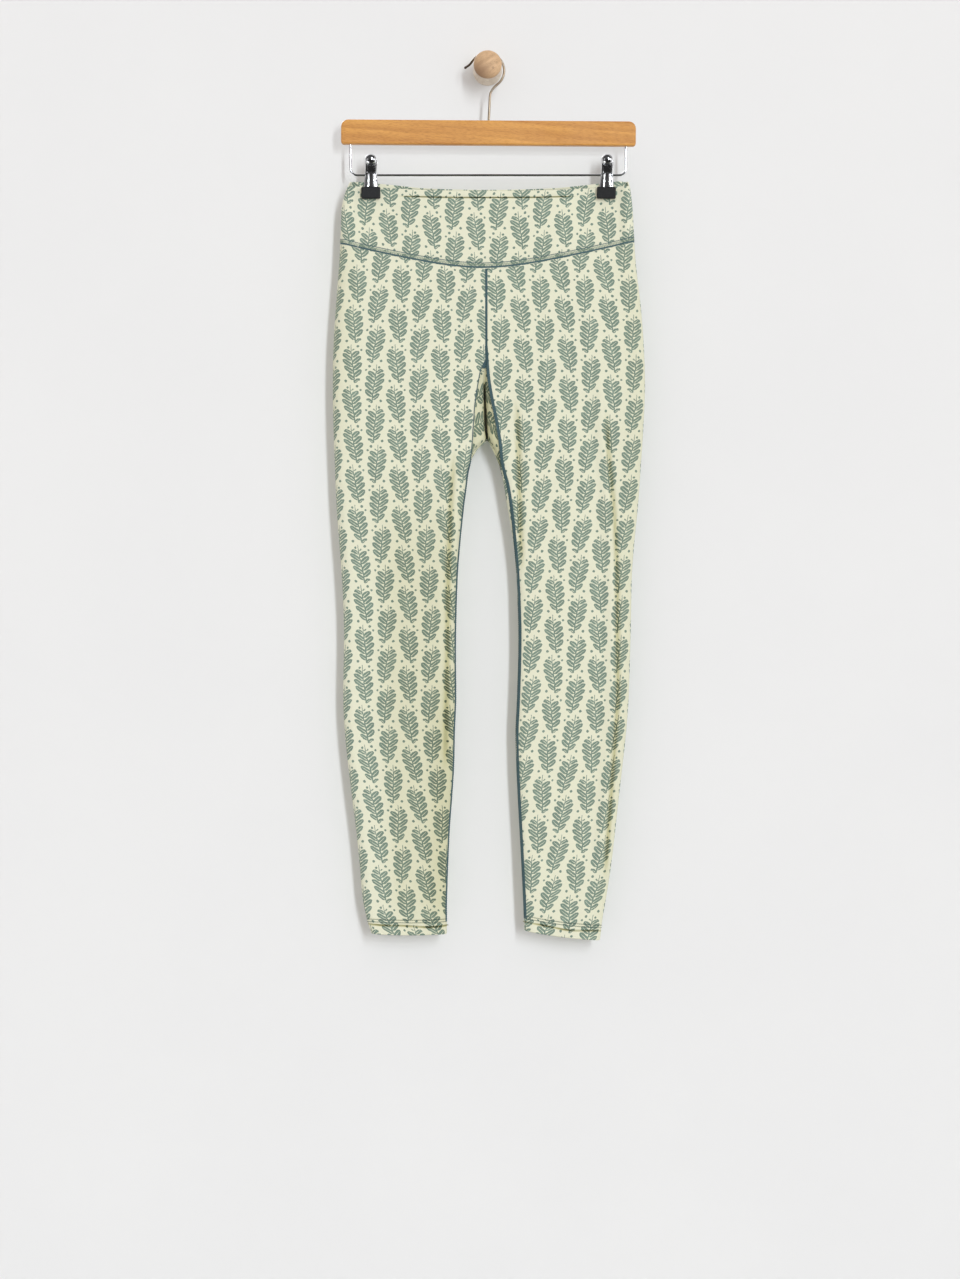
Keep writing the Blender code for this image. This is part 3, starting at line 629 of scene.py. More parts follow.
printed_jersey = jersey_material("printed_jersey", CREAM, SAGE, CHALKY_SAGE, 0.00012)
BACK_CREAM, BACK_SAGE, BACK_THIN = rgb(0.78, 0.79, 0.68), rgb(0.56, 0.62, 0.54), rgb(0.62, 0.67, 0.58)
jersey_inside = jersey_material("jersey_inside", BACK_CREAM, BACK_SAGE, BACK_THIN, 0.00016)
print("materials:", printed_jersey.name, "and", jersey_inside.name)

# %% [markdown]
# ## The shape of the hanging cloth
#
# Worn, leggings are two tubes. Hung from clips they fall nearly flat: front and back lie about two
# centimetres apart, and the cloth rolls over at the outer and inner edges. So the garment is described
# by tables: for each height the outer edges, the inner edges, how deep the flattened tube is and how
# far its edges roll. A smooth curve runs through each column. Simulated cloth could also hang like
# this, but tables keep every edge exactly where it has to be.
#
# All tables are in millimetres. Right and left are the wearer's, so the right leg is at -X.

# %% The garment's outer edges and depth
Outline = namedtuple("Outline", "z right_outer left_outer depth roll")
OUTLINE = (
    Outline(-140, -171.5, 177.0, 6.5, 6.0),
    Outline(-150, -177.0, 180.0, 6.5, 6.0),
    Outline(-163, -181.8, 182.2, 6.8, 6.5),
    Outline(-178, -185.2, 183.8, 7.2, 7.5),
    Outline(-200, -186.4, 185.2, 8.0, 9.0),
    Outline(-225, -187.2, 186.4, 9.0, 11.0),
    Outline(-257, -189.1, 188.9, 10.0, 13.0),
    Outline(-306, -192.9, 194.6, 11.0, 14.0),
    Outline(-357, -195.9, 198.4, 11.2, 14.0),
    Outline(-407, -196.7, 199.8, 11.0, 14.0),
    Outline(-458, -195.9, 197.8, 10.6, 14.0),
    Outline(-507, -194.1, 194.5, 10.2, 14.0),
    Outline(-558, -191.9, 190.9, 10.0, 14.0),
    Outline(-601, -188.8, 186.6, 9.8, 14.0),
    Outline(-643, -185.5, 183.3, 9.6, 14.0),
    Outline(-685, -183.3, 182.3, 9.4, 14.0),
    Outline(-728, -182.5, 181.4, 9.2, 14.0),
    Outline(-804, -183.4, 178.9, 9.0, 13.0),
    Outline(-846, -181.3, 175.7, 8.8, 13.0),
    Outline(-888, -177.1, 171.2, 8.6, 12.0),
    Outline(-931, -171.9, 166.2, 8.4, 12.0),
    Outline(-973, -166.6, 161.7, 8.2, 11.0),
    Outline(-1015, -162.4, 156.6, 8.0, 11.0),
    Outline(-1057, -158.6, 150.2, 7.6, 10.0),
    Outline(-1085, -152.6, 145.4, 7.2, 9.0),
    Outline(-1112, -143.8, 142.4, 7.0, 9.0),
)
print(len(OUTLINE), "rows of outer edges and depth")

# %% Its inner edges and the gusset's seams
Inner = namedtuple("Inner", "z right left")
INNER = (
    Inner(-376, -2.7, -2.3),
    Inner(-384, -4.6, -3.2),
    Inner(-414, -5.0, -3.0),
    Inner(-460, -3.4, -1.0),
    Inner(-475, -2.2, 0.4),
    Inner(-480, -7.0, 3.0),
    Inner(-487, -13.8, 6.6),
    Inner(-500, -20.2, 12.0),
    Inner(-514, -24.2, 16.8),
    Inner(-538, -27.4, 21.6),
    Inner(-558, -30.1, 24.8),
    Inner(-601, -34.6, 32.2),
    Inner(-643, -38.0, 36.6),
    Inner(-705, -40.1, 38.9),
    Inner(-748, -40.5, 38.9),
    Inner(-804, -40.2, 37.2),
    Inner(-846, -41.9, 35.6),
    Inner(-888, -42.8, 36.6),
    Inner(-931, -45.6, 38.6),
    Inner(-973, -48.6, 40.8),
    Inner(-1057, -51.8, 45.4),
    Inner(-1112, -51.8, 47.2),
)

GussetSeam = namedtuple("GussetSeam", "z right_front left_front right_back left_back")
GUSSET_SEAM = (
    GussetSeam(-376, -3.1, -1.9, -3.6, -3.4),
    GussetSeam(-384, -7.6, -1.6, -3.6, -3.4),
    GussetSeam(-399, -11.0, -0.2, -3.6, -3.4),
    GussetSeam(-429, -15.6, 4.8, -5.2, -1.8),
    GussetSeam(-445, -16.8, 8.2, -9.6, 5.0),
    GussetSeam(-460, -17.9, 11.0, -13.4, 8.8),
    GussetSeam(-480, -19.2, 14.4, -16.6, 12.0),
    GussetSeam(-505, -22.0, 16.6, -22.0, 14.8),
    GussetSeam(-520, -25.2, 18.6, -25.2, 18.6),
)
print(len(INNER), "rows of inner edge,", len(GUSSET_SEAM), "of gusset seam")


# %% A smooth curve through a table
def through(rows, z, name):
    """A table's column at heights z, on a smooth curve through its rows."""
    heights = np.array([row.z for row in rows], float)[::-1]
    values = np.array([getattr(row, name) for row in rows], float)[::-1]
    slopes = np.empty_like(values)
    slopes[1:-1] = (values[2:] - values[:-2]) / (heights[2:] - heights[:-2])
    slopes[0] = (values[1] - values[0]) / (heights[1] - heights[0])
    slopes[-1] = (values[-1] - values[-2]) / (heights[-1] - heights[-2])
    z = np.clip(z, heights[0], heights[-1])
    i = np.clip(np.searchsorted(heights, z) - 1, 0, len(heights) - 2)
    step = heights[i + 1] - heights[i]
    s = (z - heights[i]) / step
    start = (2 * s**3 - 3 * s**2 + 1) * values[i] + (s**3 - 2 * s**2 + s) * step * slopes[i]
    end = (3 * s**2 - 2 * s**3) * values[i + 1] + (s**3 - s**2) * step * slopes[i + 1]
    return start + end


def ease(s):
    """0 to 1 with a soft start and end."""
    s = np.clip(s, 0.0, 1.0)
    return s * s * (3 - 2 * s)


def rounded(distance, width):
    """0 at an edge, 1 from width away, on a quarter of an ellipse."""
    s = np.clip(distance / width, 0.0, 1.0)
    return np.sqrt(1 - (1 - s) ** 2)


def hill(distance, width):
    """1 on a line, fading to nothing about two widths away."""
    return np.exp(-((distance / width) ** 2))


print("the left hip reaches to", through(OUTLINE, -300.0, "left_outer").round(1), "mm")

# %% Edges, seams and hems
CENTRE = {FRONT: -2.4, BACK: -3.5}
CROTCH = -475.0
SEAM_TIP = {FRONT: -378.0, BACK: -430.0}
GUSSET_CORNER = {"right": -505.0, "left": -520.0}
SEAM_CENTRE = (-6.0, -257.3)
SEAM_RISE = 0.25
SEAM_ROUND = 70.0
SIDE_SEAM = 190.0
BACK_SEAM_DROP = -236.0
GAP = 0.3
TopEdge = namedtuple("TopEdge", "centre rise reach power")
TOP_EDGE = {FRONT: TopEdge(-158.3, 5.3, 150.0, 3.0), BACK: TopEdge(-155.5, 9.3, 165.0, 2.2)}
Hem = namedtuple("Hem", "inner outer bow")
HEMS = {"right": Hem(-1100.5, -1100.5, 1.5), "left": Hem(-1096.5, -1108.5, 2.0)}


def outer_edge(side, z):
    return through(OUTLINE, z, side + "_outer")


def inner_edge(side, z):
    return through(INNER, z, side)


def gusset_seam(side, z, front):
    return through(GUSSET_SEAM, z, f"{side}_{FACE_NAME[front]}")


def seam_height(x, front):
    """The height of the seam between the waistband and the legs."""
    away = np.hypot(x - SEAM_CENTRE[0], SEAM_ROUND) - SEAM_ROUND
    height = SEAM_CENTRE[1] + SEAM_RISE * away
    if front:
        return height
    side = seam_height(np.copysign(SIDE_SEAM, x), FRONT)
    return side + (BACK_SEAM_DROP - side) * (1 - ease(np.abs(x) / SIDE_SEAM))


def band_top(x, front):
    """The height of the waistband's upper edge."""
    edge = TOP_EDGE[front]
    return edge.centre + edge.rise * np.minimum(np.abs(x) / edge.reach, 1.0) ** edge.power


def hem_slant(side, across):
    """How far above its inner end a leg's lower edge is, at a share of the way outward."""
    hem = HEMS[side]
    return (hem.outer - hem.inner) * across - hem.bow * np.sin(np.pi * across)


def hem_height(side, x):
    """The height of a leg's lower edge."""
    level = HEMS[side].inner
    inner, outer = inner_edge(side, level), outer_edge(side, level)
    return level + hem_slant(side, np.clip((x - inner) / (outer - inner), 0.0, 1.0))


print("hems", hem_height("right", -100.0).round(1), hem_height("left", 100.0).round(1))

# %% Where clips and folds bring the layers together
Clip = namedtuple("Clip", "name x turn roll")
CLIPS = (
    Clip("right", -148.0, math.radians(-1.5), 0.0),
    Clip("left", 151.6, math.radians(-5.0), math.radians(1.6)),
)
GRIP_HALF = 15.0
GRIP_FADE_OUTER = 9.0
GRIP_FADE_INNER = 55.0
GRIP_LOW = -174.0
GRIP_FADE_BELOW = 90.0
GRIP_LEFT_BELOW = 0.05
FOLD_DEPTH = 0.5
FOLD_TURN = 15.0
FOLD_OPENS = 0.3


def held_by(clip, x, z):
    """1 where a clip holds the two layers together, fading to 0 around and below it."""
    away = np.abs(x - clip.x) - GRIP_HALF
    fade = np.where(np.abs(x) > abs(clip.x), GRIP_FADE_OUTER, GRIP_FADE_INNER)
    below = ease((GRIP_LOW - z) / GRIP_FADE_BELOW)
    return (1 - ease(away / fade)) * (1 - (1 - GRIP_LEFT_BELOW) * below)


def between_layers(x, z):
    """The middle between front and back, turned where a clip is, and how firmly it is held there."""
    held = [held_by(clip, x, z) for clip in CLIPS]
    middle = CLOTH_Y + sum(h * (x - clip.x) * math.tan(clip.turn) for h, clip in zip(held, CLIPS))
    return middle, np.maximum(*held)


def opened(z, front):
    """How much of the depth is left where the legs meet: 1 above the gusset, 0 below the crotch."""
    above = z - CROTCH
    top = SEAM_TIP[front] - CROTCH
    rest = (above - FOLD_TURN) / (top - FOLD_TURN)
    upper = FOLD_DEPTH + (1 - FOLD_DEPTH) * ease((rest - (1 - FOLD_OPENS)) / FOLD_OPENS)
    lower = FOLD_DEPTH * rounded(np.maximum(above, 0.0), FOLD_TURN)
    return np.where(above < FOLD_TURN, lower, upper)


print("depth left halfway down the gusset:", opened((SEAM_TIP[FRONT] + CROTCH) / 2, FRONT))

# %% [markdown]
# ### Folds
#
# A tight knit hangs with few folds, and each has a cause: the legs swing a little inward and leave one
# soft ridge, the clips drag at the waist, the crotch gathers, and the knees keep a memory of being
# worn. Each fold is a row in a table: the path it follows, its width, and its height, which is
# negative for a trough. The hidden sides get similar ones in other places.

# %% Folds and broad waves
Fold = namedtuple("Fold", "side front height width path")
FOLDS = (
    Fold("left", FRONT, 2.2, 7.0,
         ((-380, 142), (-474, 146), (-558, 152), (-643, 157), (-804, 158), (-1030, 140))),
    Fold("left", FRONT, -2.2, 2.8,
         ((-430, 150), (-500, 154), (-558, 160), (-643, 164), (-804, 165), (-1040, 148))),
    Fold("left", FRONT, -1.2, 9.0,
         ((-380, 128), (-474, 132), (-558, 138), (-643, 143), (-804, 144), (-1030, 126))),
    Fold("left", FRONT, -2.2, 3.2, ((-415, 36), (-460, 38.5), (-520, 40), (-580, 41), (-650, 44))),
    Fold("left", FRONT, 0.9, 6.0, ((-425, 46), (-474, 49), (-520, 51), (-620, 54))),
    Fold("left", FRONT, -1.0, 6.0, ((-270, 172), (-330, 180), (-400, 184), (-470, 182))),
    Fold("left", FRONT, 0.8, 12.0, ((-640, 80), (-720, 92), (-800, 90), (-900, 84))),
    Fold("left", FRONT, -0.8, 7.0, ((-1000, 118), (-1050, 112), (-1095, 104))),
    Fold("right", FRONT, -1.8, 3.4, ((-480, -42), (-560, -47), (-640, -50), (-740, -51), (-900, -54))),
    Fold("right", FRONT, 0.8, 7.0, ((-505, -58), (-600, -61), (-700, -63), (-800, -63))),
    Fold("right", FRONT, 1.0, 12.0, ((-330, -120), (-420, -128), (-520, -132), (-620, -128))),
    Fold("right", FRONT, -0.8, 8.0, ((-700, -150), (-800, -156), (-900, -148), (-1000, -136))),
    Fold("right", FRONT, -0.7, 6.0, ((-1010, -92), (-1050, -98), (-1094, -108))),
    Fold("left", BACK, 2.0, 10.0, ((-380, 120), (-500, 128), (-640, 136), (-800, 130), (-960, 118))),
    Fold("left", BACK, -1.5, 8.0, ((-380, 102), (-500, 108), (-640, 116), (-800, 112), (-960, 102))),
    Fold("left", BACK, -1.5, 6.0, ((-400, 12), (-450, 34), (-500, 52), (-560, 66))),
    Fold("right", BACK, 2.0, 10.0, ((-360, -110), (-500, -124), (-640, -122), (-780, -128), (-940, -120))),
    Fold("right", BACK, -1.5, 8.0, ((-360, -92), (-500, -104), (-640, -104), (-780, -110), (-940, -104))),
    Fold("right", BACK, -1.5, 6.0, ((-396, -16), (-446, -36), (-500, -58), (-560, -72))),
)
FOLD_FADE = 45.0
DEEP_TROUGH = -1.5
BACK_WAVES = 2.1


def folds(side, x, z, front, troughs_only=False):
    """How far the folds push the cloth outward."""
    out = np.zeros(np.broadcast(x, z).shape)
    for fold in FOLDS:
        if fold.side != side or fold.front != front or (troughs_only and fold.height > DEEP_TROUGH):
            continue
        heights = [point[0] for point in reversed(fold.path)]
        places = [point[1] for point in reversed(fold.path)]
        ends = ease((z - heights[0]) / FOLD_FADE) * ease((heights[-1] - z) / FOLD_FADE)
        out += fold.height * hill(x - np.interp(z, heights, places), fold.width) * ends
    return out


def unevenness(x, z, front):
    """Knitted cloth never hangs quite flat: broad, shallow waves, different on the two sides."""
    turn = 0.0 if front else BACK_WAVES
    waves = np.sin(z / 41 + x / 63 + turn) * np.sin(x / 29 - z / 97 + 2 * turn)
    return 0.5 * waves + 0.25 * np.sin(z / 17 + x / 23 + 3 * turn) * np.sin(x / 13 + turn)


print(len(FOLDS), "folds, the highest", max(fold.height for fold in FOLDS), "mm")

# %% [markdown]
# Each hem is turned up once and stitched down in two rows. The rows pull in, the cloth puckers between
# them, and the hem tips over in an uneven crease below. The centre seam pulls in too, most above the
# gusset.

# %% Hems and the centre seam
HEM_HEIGHT = 15.2
HEM_PROUD = 0.5
NEEDLE_GAP = 3.2
HEM_CREASE = 10.9
ROWS_SUNK = 0.8
CREASE_SUNK = 1.9


def from_crease(side, x, z):
    """The height above the uneven crease where the hem tips over, below its stitching."""
    return z - hem_height(side, x) - HEM_CREASE - 1.1 * np.sin(x / 26 + 0.9) - 0.5 * np.sin(x / 9.5)


def hem_relief(side, x, z):
    """The turned hem stands proud, its two rows of stitching pull in, and the cloth puckers at them."""
    up = z - hem_height(side, x) - HEM_HEIGHT
    proud = HEM_PROUD * ease((NEEDLE_GAP - up) / 1.2)
    uneven = 1 + 0.5 * np.sin(x / 11 + 0.7) * np.sin(x / 4.7)
    rows = ROWS_SUNK * (hill(up, 0.7) + hill(up - NEEDLE_GAP, 0.7))
    crease = CREASE_SUNK * uneven * hill(from_crease(side, x, z), 0.9)
    puckers = np.sin(x / 1.45 + 1.3 * np.sin(x / 6.1)) * 0.34 + np.sin(x / 3.9 + 0.8) * 0.40
    return proud - rows - crease + puckers * hill(up + 1.0, 6.5)


def centre_groove(x, z, front):
    """The centre seam pulls in, most just above the gusset."""
    above = z - SEAM_TIP[front]
    deep = 0.5 + 1.6 * ease((90 - above) / 90)
    return deep * hill(x - CENTRE[front], 1.7) * ease((above + 14) / 14)


print("hem turned up", HEM_HEIGHT + NEEDLE_GAP, "mm, its rows", NEEDLE_GAP, "mm apart")

# %% [markdown]
# Tight creases are darker than the lamps alone make them, and a few broad parts turn from the soft box
# more than this nearly flat mesh does. Both go into fold_shade, the number that tints the jersey.

# %% Dark creases and dimmed parts
FOLD_SHADE, ROWS_SHADE, CREASE_SHADE = 0.15, 0.21, 0.72
DimArea = namedtuple("DimArea", "side share z_none z_full across_none across_full")
DIM_AREAS = (
    DimArea("right", 0.10, -470, -660, 0.80, 0.50),
    DimArea("right", 0.10, -740, -850, 0.34, 0.06),
    DimArea("right", 0.06, -560, -380, 0.78, 0.98),
    DimArea("left", 0.055, -150, -300, 0.80, 1.00),
)
DIM_AT_HEM, DIM_LOW, DIM_GROWS = 0.35, -1110.0, 60.0


def turned_away(side, x, z):
    """How much the broad parts that turn from the soft box are dimmed; across runs outward."""
    across = np.abs((x - inner_edge(side, z)) / (outer_edge(side, z) - inner_edge(side, z)))
    dim = 0
    for area in DIM_AREAS:
        if area.side == side:
            level = ease((z - area.z_none) / (area.z_full - area.z_none))
            outward = ease((across - area.across_none) / (area.across_full - area.across_none))
            dim = dim + area.share * level * outward
    return dim * (DIM_AT_HEM + (1 - DIM_AT_HEM) * ease((z - DIM_LOW) / DIM_GROWS))


def leg_shade(side, x, z, front):
    """How dark the creases at the hem, the bottoms of the folds and the dim areas are."""
    up = z - hem_height(side, x) - HEM_HEIGHT
    uneven = 0.62 + 0.38 * np.sin(x / 15 + 0.7) * np.sin(x / 6.7)
    rows = ROWS_SHADE * (hill(up, 0.6) + hill(up - NEEDLE_GAP, 0.6))
    crease = CREASE_SHADE * uneven * hill(from_crease(side, x, z), 1.1)
    broad = turned_away(side, x, z) if front else 0
    return rows + crease + broad - FOLD_SHADE * folds(side, x, z, front, troughs_only=True)


print(len(DIM_AREAS), "dimmed parts, by at most", max(area.share for area in DIM_AREAS))

# %% The surface of the hanging cloth
PINCHED = 2.05
INNER_ROLL = 14.0
FOLDS_BELOW, FOLDS_GROW = -245.0, 60.0


def cloth_y(side, x, z, front):
    """Where the garment's outer face is, seen along the wall's normal."""
    middle, held = between_layers(x, z)
    depth = PINCHED + (through(OUTLINE, z, "depth") - PINCHED) * (1 - held)
    across = rounded(np.abs(outer_edge(side, z) - x), through(OUTLINE, z, "roll"))
    inner = rounded(np.abs(x - inner_edge(side, z)), INNER_ROLL)
    left_open = opened(z, front)
    out = depth * across * (left_open + (1 - left_open) * inner)
    free = across * (1 - held) * ease((FOLDS_BELOW - z) / FOLDS_GROW)
    near_fold = np.where(z > GUSSET_CORNER[side], 1.0, inner)
    out = out + free * near_fold * (folds(side, x, z, front) + unevenness(x, z, front))
    out = out + hem_relief(side, x, z) * across - centre_groove(x, z, front) * (z < seam_height(x, front))
    return middle + (-out if front else out)


def skin(piece, x, z, front):
    """Points of a leg's or the band's outer face, and the direction straight out of it."""
    x, z = np.broadcast_arrays(np.asarray(x, float), np.asarray(z, float))

    def at(x, z):
        y = band_face(x, z, front) if piece == "band" else cloth_y(piece, x, z, front)
        return np.stack([x, y, z], -1)

    reach = 0.2
    out = np.cross(at(x + reach, z) - at(x - reach, z), at(x, z + reach) - at(x, z - reach))
    out /= np.linalg.norm(out, axis=-1, keepdims=True)
    return at(x, z), out if front else -out


points, outward = skin("left", np.array([60.0, 196.0]), -600.0, FRONT)
print("the left thigh's front is at y", points[0, 1].round(1), "and faces", outward[0].round(2))

# %% [markdown]
# ### From a grid of points to a piece of cloth
#
# Each piece starts as a grid of points on its outer face. The same points moved inward by the cloth's
# thickness make the inner face, and a rounded rim joins the two along every free edge. A Solidify
# modifier could add the thickness too, but here the hem is thicker than the rest, the two faces have
# different materials, and each corner keeps its own place on the flat cloth.


# %% The cells and directions of a grid
def cells(grid):
    """The four corners of each cell of a grid, in order round the cell."""
    return np.stack((grid[:-1, :-1], grid[:-1, 1:], grid[1:, 1:], grid[1:, :-1]), 2)


def grid_normals(face, closed_from):
    """Unit normals of a grid; from row closed_from on, its first and last columns meet."""
    across = np.empty_like(face)
    across[:, 1:-1] = face[:, 2:] - face[:, :-2]
    across[:, 0] = face[:, 1] - face[:, 0]
    across[:, -1] = face[:, -1] - face[:, -2]
    if closed_from is not None:
        around = face[closed_from:, 1] - face[closed_from:, -2]
        across[closed_from:, 0] = around
        across[closed_from:, -1] = around
    down = np.empty_like(face)
    down[1:-1] = face[2:] - face[:-2]
    down[0] = face[1] - face[0]
    down[-1] = face[-1] - face[-2]
    normal = np.cross(across, down)
    return normal / np.maximum(np.linalg.norm(normal, axis=-1, keepdims=True), 1e-9)


print("the first cell of two rows of three:", cells(np.arange(6).reshape(2, 3))[0, 0])

# %% A rounded rim
RIM_ROUND = 0.35


def rim_points(face, inside, closed_from):
    """Grid places along the free edges, in order, each with the middle point of its rounded rim."""
    rows, columns = face.shape[:2]
    last_open = rows - 1 if closed_from is None else closed_from
    edges = [[(0, j) for j in range(columns)], [(rows - 1, j) for j in range(columns)]]
    edges += [[(i, j) for i in range(last_open + 1)] for j in (0, columns - 1)]
    beyond = {}
    for edge in edges:
        for i, j in edge:
            back_i = i + (1 if i == 0 else -1) if edge in edges[:2] else i
            back_j = j if edge in edges[:2] else j + (1 if j == 0 else -1)
            away = face[i, j] - face[back_i, back_j]
            away = away / max(np.linalg.norm(away), 1e-9)
            beyond.setdefault((i, j), []).append(away)
    middle = {}
    for (i, j), aways in beyond.items():
        thickness = np.linalg.norm(face[i, j] - inside[i, j])
        middle[i, j] = (face[i, j] + inside[i, j]) / 2 + np.mean(aways, axis=0) * thickness * RIM_ROUND
    return edges, middle


print("a rim stands out by", RIM_ROUND, "of the cloth's thickness")


# %% Build a cloth wall from a grid
def face_outward(mesh):
    """Turn all faces of a closed mesh outward and shade it smooth."""
    work = bmesh.new()
    work.from_mesh(mesh)
    bmesh.ops.recalc_face_normals(work, faces=work.faces)
    work.to_mesh(mesh)
    work.free()
    mesh.shade_smooth()


def cloth_wall(name, face, flat, thickness, inner_kind, shade, out_from, closed_from=None):
    """A closed wall of cloth in mm. flat is each grid point's place on the flat cloth, in mm.

    thickness, inner_kind and shade are arrays over the grid: the wall's depth, the material index
    of its inner face, and how dark a crease is. out_from is a point that the outer face turns from.
    """
    rows, columns = face.shape[:2]
    normal = grid_normals(face, closed_from)
    if ((face - out_from) * normal).sum() < 0:
        normal = -normal
    inside = face - normal * thickness[..., None]
    index = np.arange(rows * columns).reshape(rows, columns)
    if closed_from is not None:
        index[closed_from:, -1] = index[closed_from:, 0]
    points = np.concatenate([face.reshape(-1, 3), inside.reshape(-1, 3)])
    edges, middle = rim_points(face, inside, closed_from)
    middle_index = {place: len(points) + k for k, place in enumerate(middle)}
    points = np.concatenate([points, np.array(list(middle.values()))])
    shades = np.concatenate([shade.ravel(), shade.ravel(), np.zeros(len(middle))])
    outer, places = cells(index).reshape(-1, 4), cells(flat).reshape(-1, 4, 2)
    faces = [*outer.tolist(), *(outer[:, ::-1] + rows * columns).tolist()]
    uvs = [places, places[:, ::-1]]
    kinds = [np.zeros(len(outer), int), inner_kind[:-1, :-1].reshape(-1)]
    rim_faces, rim_uvs = [], []
    for edge in edges:
        for (i, j), (k, m) in zip(edge, edge[1:]):
            a, b = index[i, j], index[k, m]
            mid_a, mid_b = middle_index[i, j], middle_index[k, m]
            rim_faces.append([a, b, mid_b, mid_a])
            rim_faces.append([mid_a, mid_b, b + rows * columns, a + rows * columns])
            rim_uvs += [[flat[i, j], flat[k, m], flat[k, m], flat[i, j]]] * 2
    faces += rim_faces
    uvs = np.concatenate([*uvs, np.array(rim_uvs)])
    kinds = np.concatenate([*kinds, np.zeros(len(rim_faces), int)])
    return cloth_object(name, points, shades, faces, uvs, kinds)


def cloth_object(name, points, shades, faces, uvs, kinds):
    """A smooth-shaded mesh with the two jersey materials and the map of the flat cloth."""
    used, order = np.unique(np.array(faces), return_inverse=True)
    mesh = bpy.data.meshes.new(name)
    mesh.from_pydata((points[used] * MM).tolist(), [], order.reshape(-1, 4).tolist())
    mesh.uv_layers.new(name="cloth").uv.foreach_set("vector", (uvs * MM).astype(np.float32).ravel())
    kept = mesh.attributes.new("fold_shade", "FLOAT", "POINT")
    kept.data.foreach_set("value", np.clip(shades[used], 0, 1).astype(np.float32))
    mesh.polygons.foreach_set("material_index", kinds.astype(np.int32))
    face_outward(mesh)
    mesh.materials.append(printed_jersey)
    mesh.materials.append(jersey_inside)
    return put_in_scene(name, mesh)


print("cloth builder ready")


# %% Hand over a piece, and measure along cloth
def hand_over(piece, node=None):
    """The piece moves with the one body, and may stand for a solid, which is then hidden."""
    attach(piece, "root")
    if node:
        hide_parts(node)
    return piece


def along_line(points):
    """The length of a line from its start to each of its points."""
    steps = np.linalg.norm(np.diff(points, axis=0), axis=-1)
    return np.concatenate([[0], np.cumsum(steps)])


def along_rows(face):
    """The length of cloth from each row's first column."""
    return np.array([along_line(row) for row in face])


def from_column(length, column):
    """The same lengths, counted from one column."""
    return length - length[:, column:column + 1]


def edge_steps(width, count):
    """Distances from a rolled edge, at even steps round its curve."""
    return width * (1 - np.cos(np.linspace(0, np.pi / 2, count + 1)))


def spread(near, shares, far):
    """Places in a zone at either end and between: a fixed part, and a share of the room between."""
    fixed = [*near, *np.full(len(shares), near[-1]), *(near[-1] + far)]
    share = [*np.zeros(len(near)), *shares, *np.ones(len(far))]
    return np.array(fixed), np.array(share)


print("places near an edge:", edge_steps(1.0, 4).round(2))

# %% [markdown]
# ### The legs
#
# Each leg is one panel with no side seam: it starts at the centre front, goes round the outside and
# ends at the centre back. Below the gusset its two long edges meet in the inseam and close the tube.
# The columns stand close together where the cloth rolls over, and the rows at the waist seam and hem.

# %% Rows and columns of a leg
LEG_WALL = 1.2
HEM_EXTRA = 0.9
EDGE_ZONE = 15.0
EDGE_COUNT = 9
MIDDLE_COUNT = 42
HIP_LEVEL = -290.0
HEM_SLANTS_FROM = -850.0
ROW_STEP = 3.4
HEM_ZONE = 21.0
HIP_SHARES = (0, 0.015, 0.04, 0.08, 0.13, 0.2, 0.3, 0.4, 0.5, 0.6, 0.7, 0.8, 0.9)
SETTLE_ROUNDS = 4
INSIDE_POINT = {"right": (-110.0, CLOTH_Y, -600.0), "left": (110.0, CLOTH_Y, -600.0)}


def panel_edge(side, z, front):
    """The x where a leg's panel ends on its inner side."""
    edge = np.where(z > SEAM_TIP[front], CENTRE[front], gusset_seam(side, z, front))
    return np.where(z < GUSSET_CORNER[side], inner_edge(side, z), edge + OUTWARD[side] * GAP / 2)


def columns_between(zone, near_count, middle_count, first=0.0):
    """Each column's distance from one rolled edge, closest together near both edges."""
    near = edge_steps(zone, near_count)
    near[0] = first
    return spread(near, np.linspace(0, 1, middle_count + 1)[1:-1], zone - near[::-1])


def leg_levels(side):
    """Heights of the rows at the inner edge below the hips, and which row closes the tube."""
    corner, hem = GUSSET_CORNER[side], HEMS[side].inner
    upper = np.linspace(HIP_LEVEL, corner, round((HIP_LEVEL - corner) / ROW_STEP) + 1)
    zone = hem + HEM_ZONE
    lower = np.linspace(corner, zone, round((corner - zone) / ROW_STEP) + 1)[1:]
    last = np.linspace(zone, hem, round(2 * HEM_ZONE) + 1)[1:]
    return np.concatenate([upper, lower, last]), len(upper) - 1


def leg_grid(side):
    """The leg's outer face: rows from the waist seam to the hem, columns round from front to back."""
    levels, closes = leg_levels(side)
    levels, hips = levels[:, None], np.array(HIP_SHARES)[:, None]
    fixed, share = columns_between(EDGE_ZONE, EDGE_COUNT, MIDDLE_COUNT)
    slanted = np.clip((HEM_SLANTS_FROM - levels) / (HEM_SLANTS_FROM - HEMS[side].inner), 0, 1)
    halves = []
    for front in (FRONT, BACK):
        z = np.concatenate([np.full(hips.shape, HIP_LEVEL), levels]) * np.ones(len(fixed))
        for _ in range(SETTLE_ROUNDS):
            inner, outer = panel_edge(side, z, front), outer_edge(side, z)
            room = np.abs(outer - inner) - 2 * EDGE_ZONE
            x = inner + OUTWARD[side] * (fixed + share * room)
            seam = seam_height(x[:len(hips)], front) - GAP / 2
            across = (x - inner) / (outer - inner)
            slant = slanted * hem_slant(side, across[len(hips):])
            z = np.concatenate([seam + (HIP_LEVEL - seam) * hips, levels + slant])
        halves.append(np.stack([x, cloth_y(side, x, z, front), z], -1))
    face = np.concatenate([halves[0], halves[1][:, -2::-1]], axis=1)
    return face, len(hips) + closes, len(fixed) - 1


face, closes, fold_column = leg_grid("right")
print("leg grid", face.shape[0], "rows by", face.shape[1], "columns; tube from row", closes)

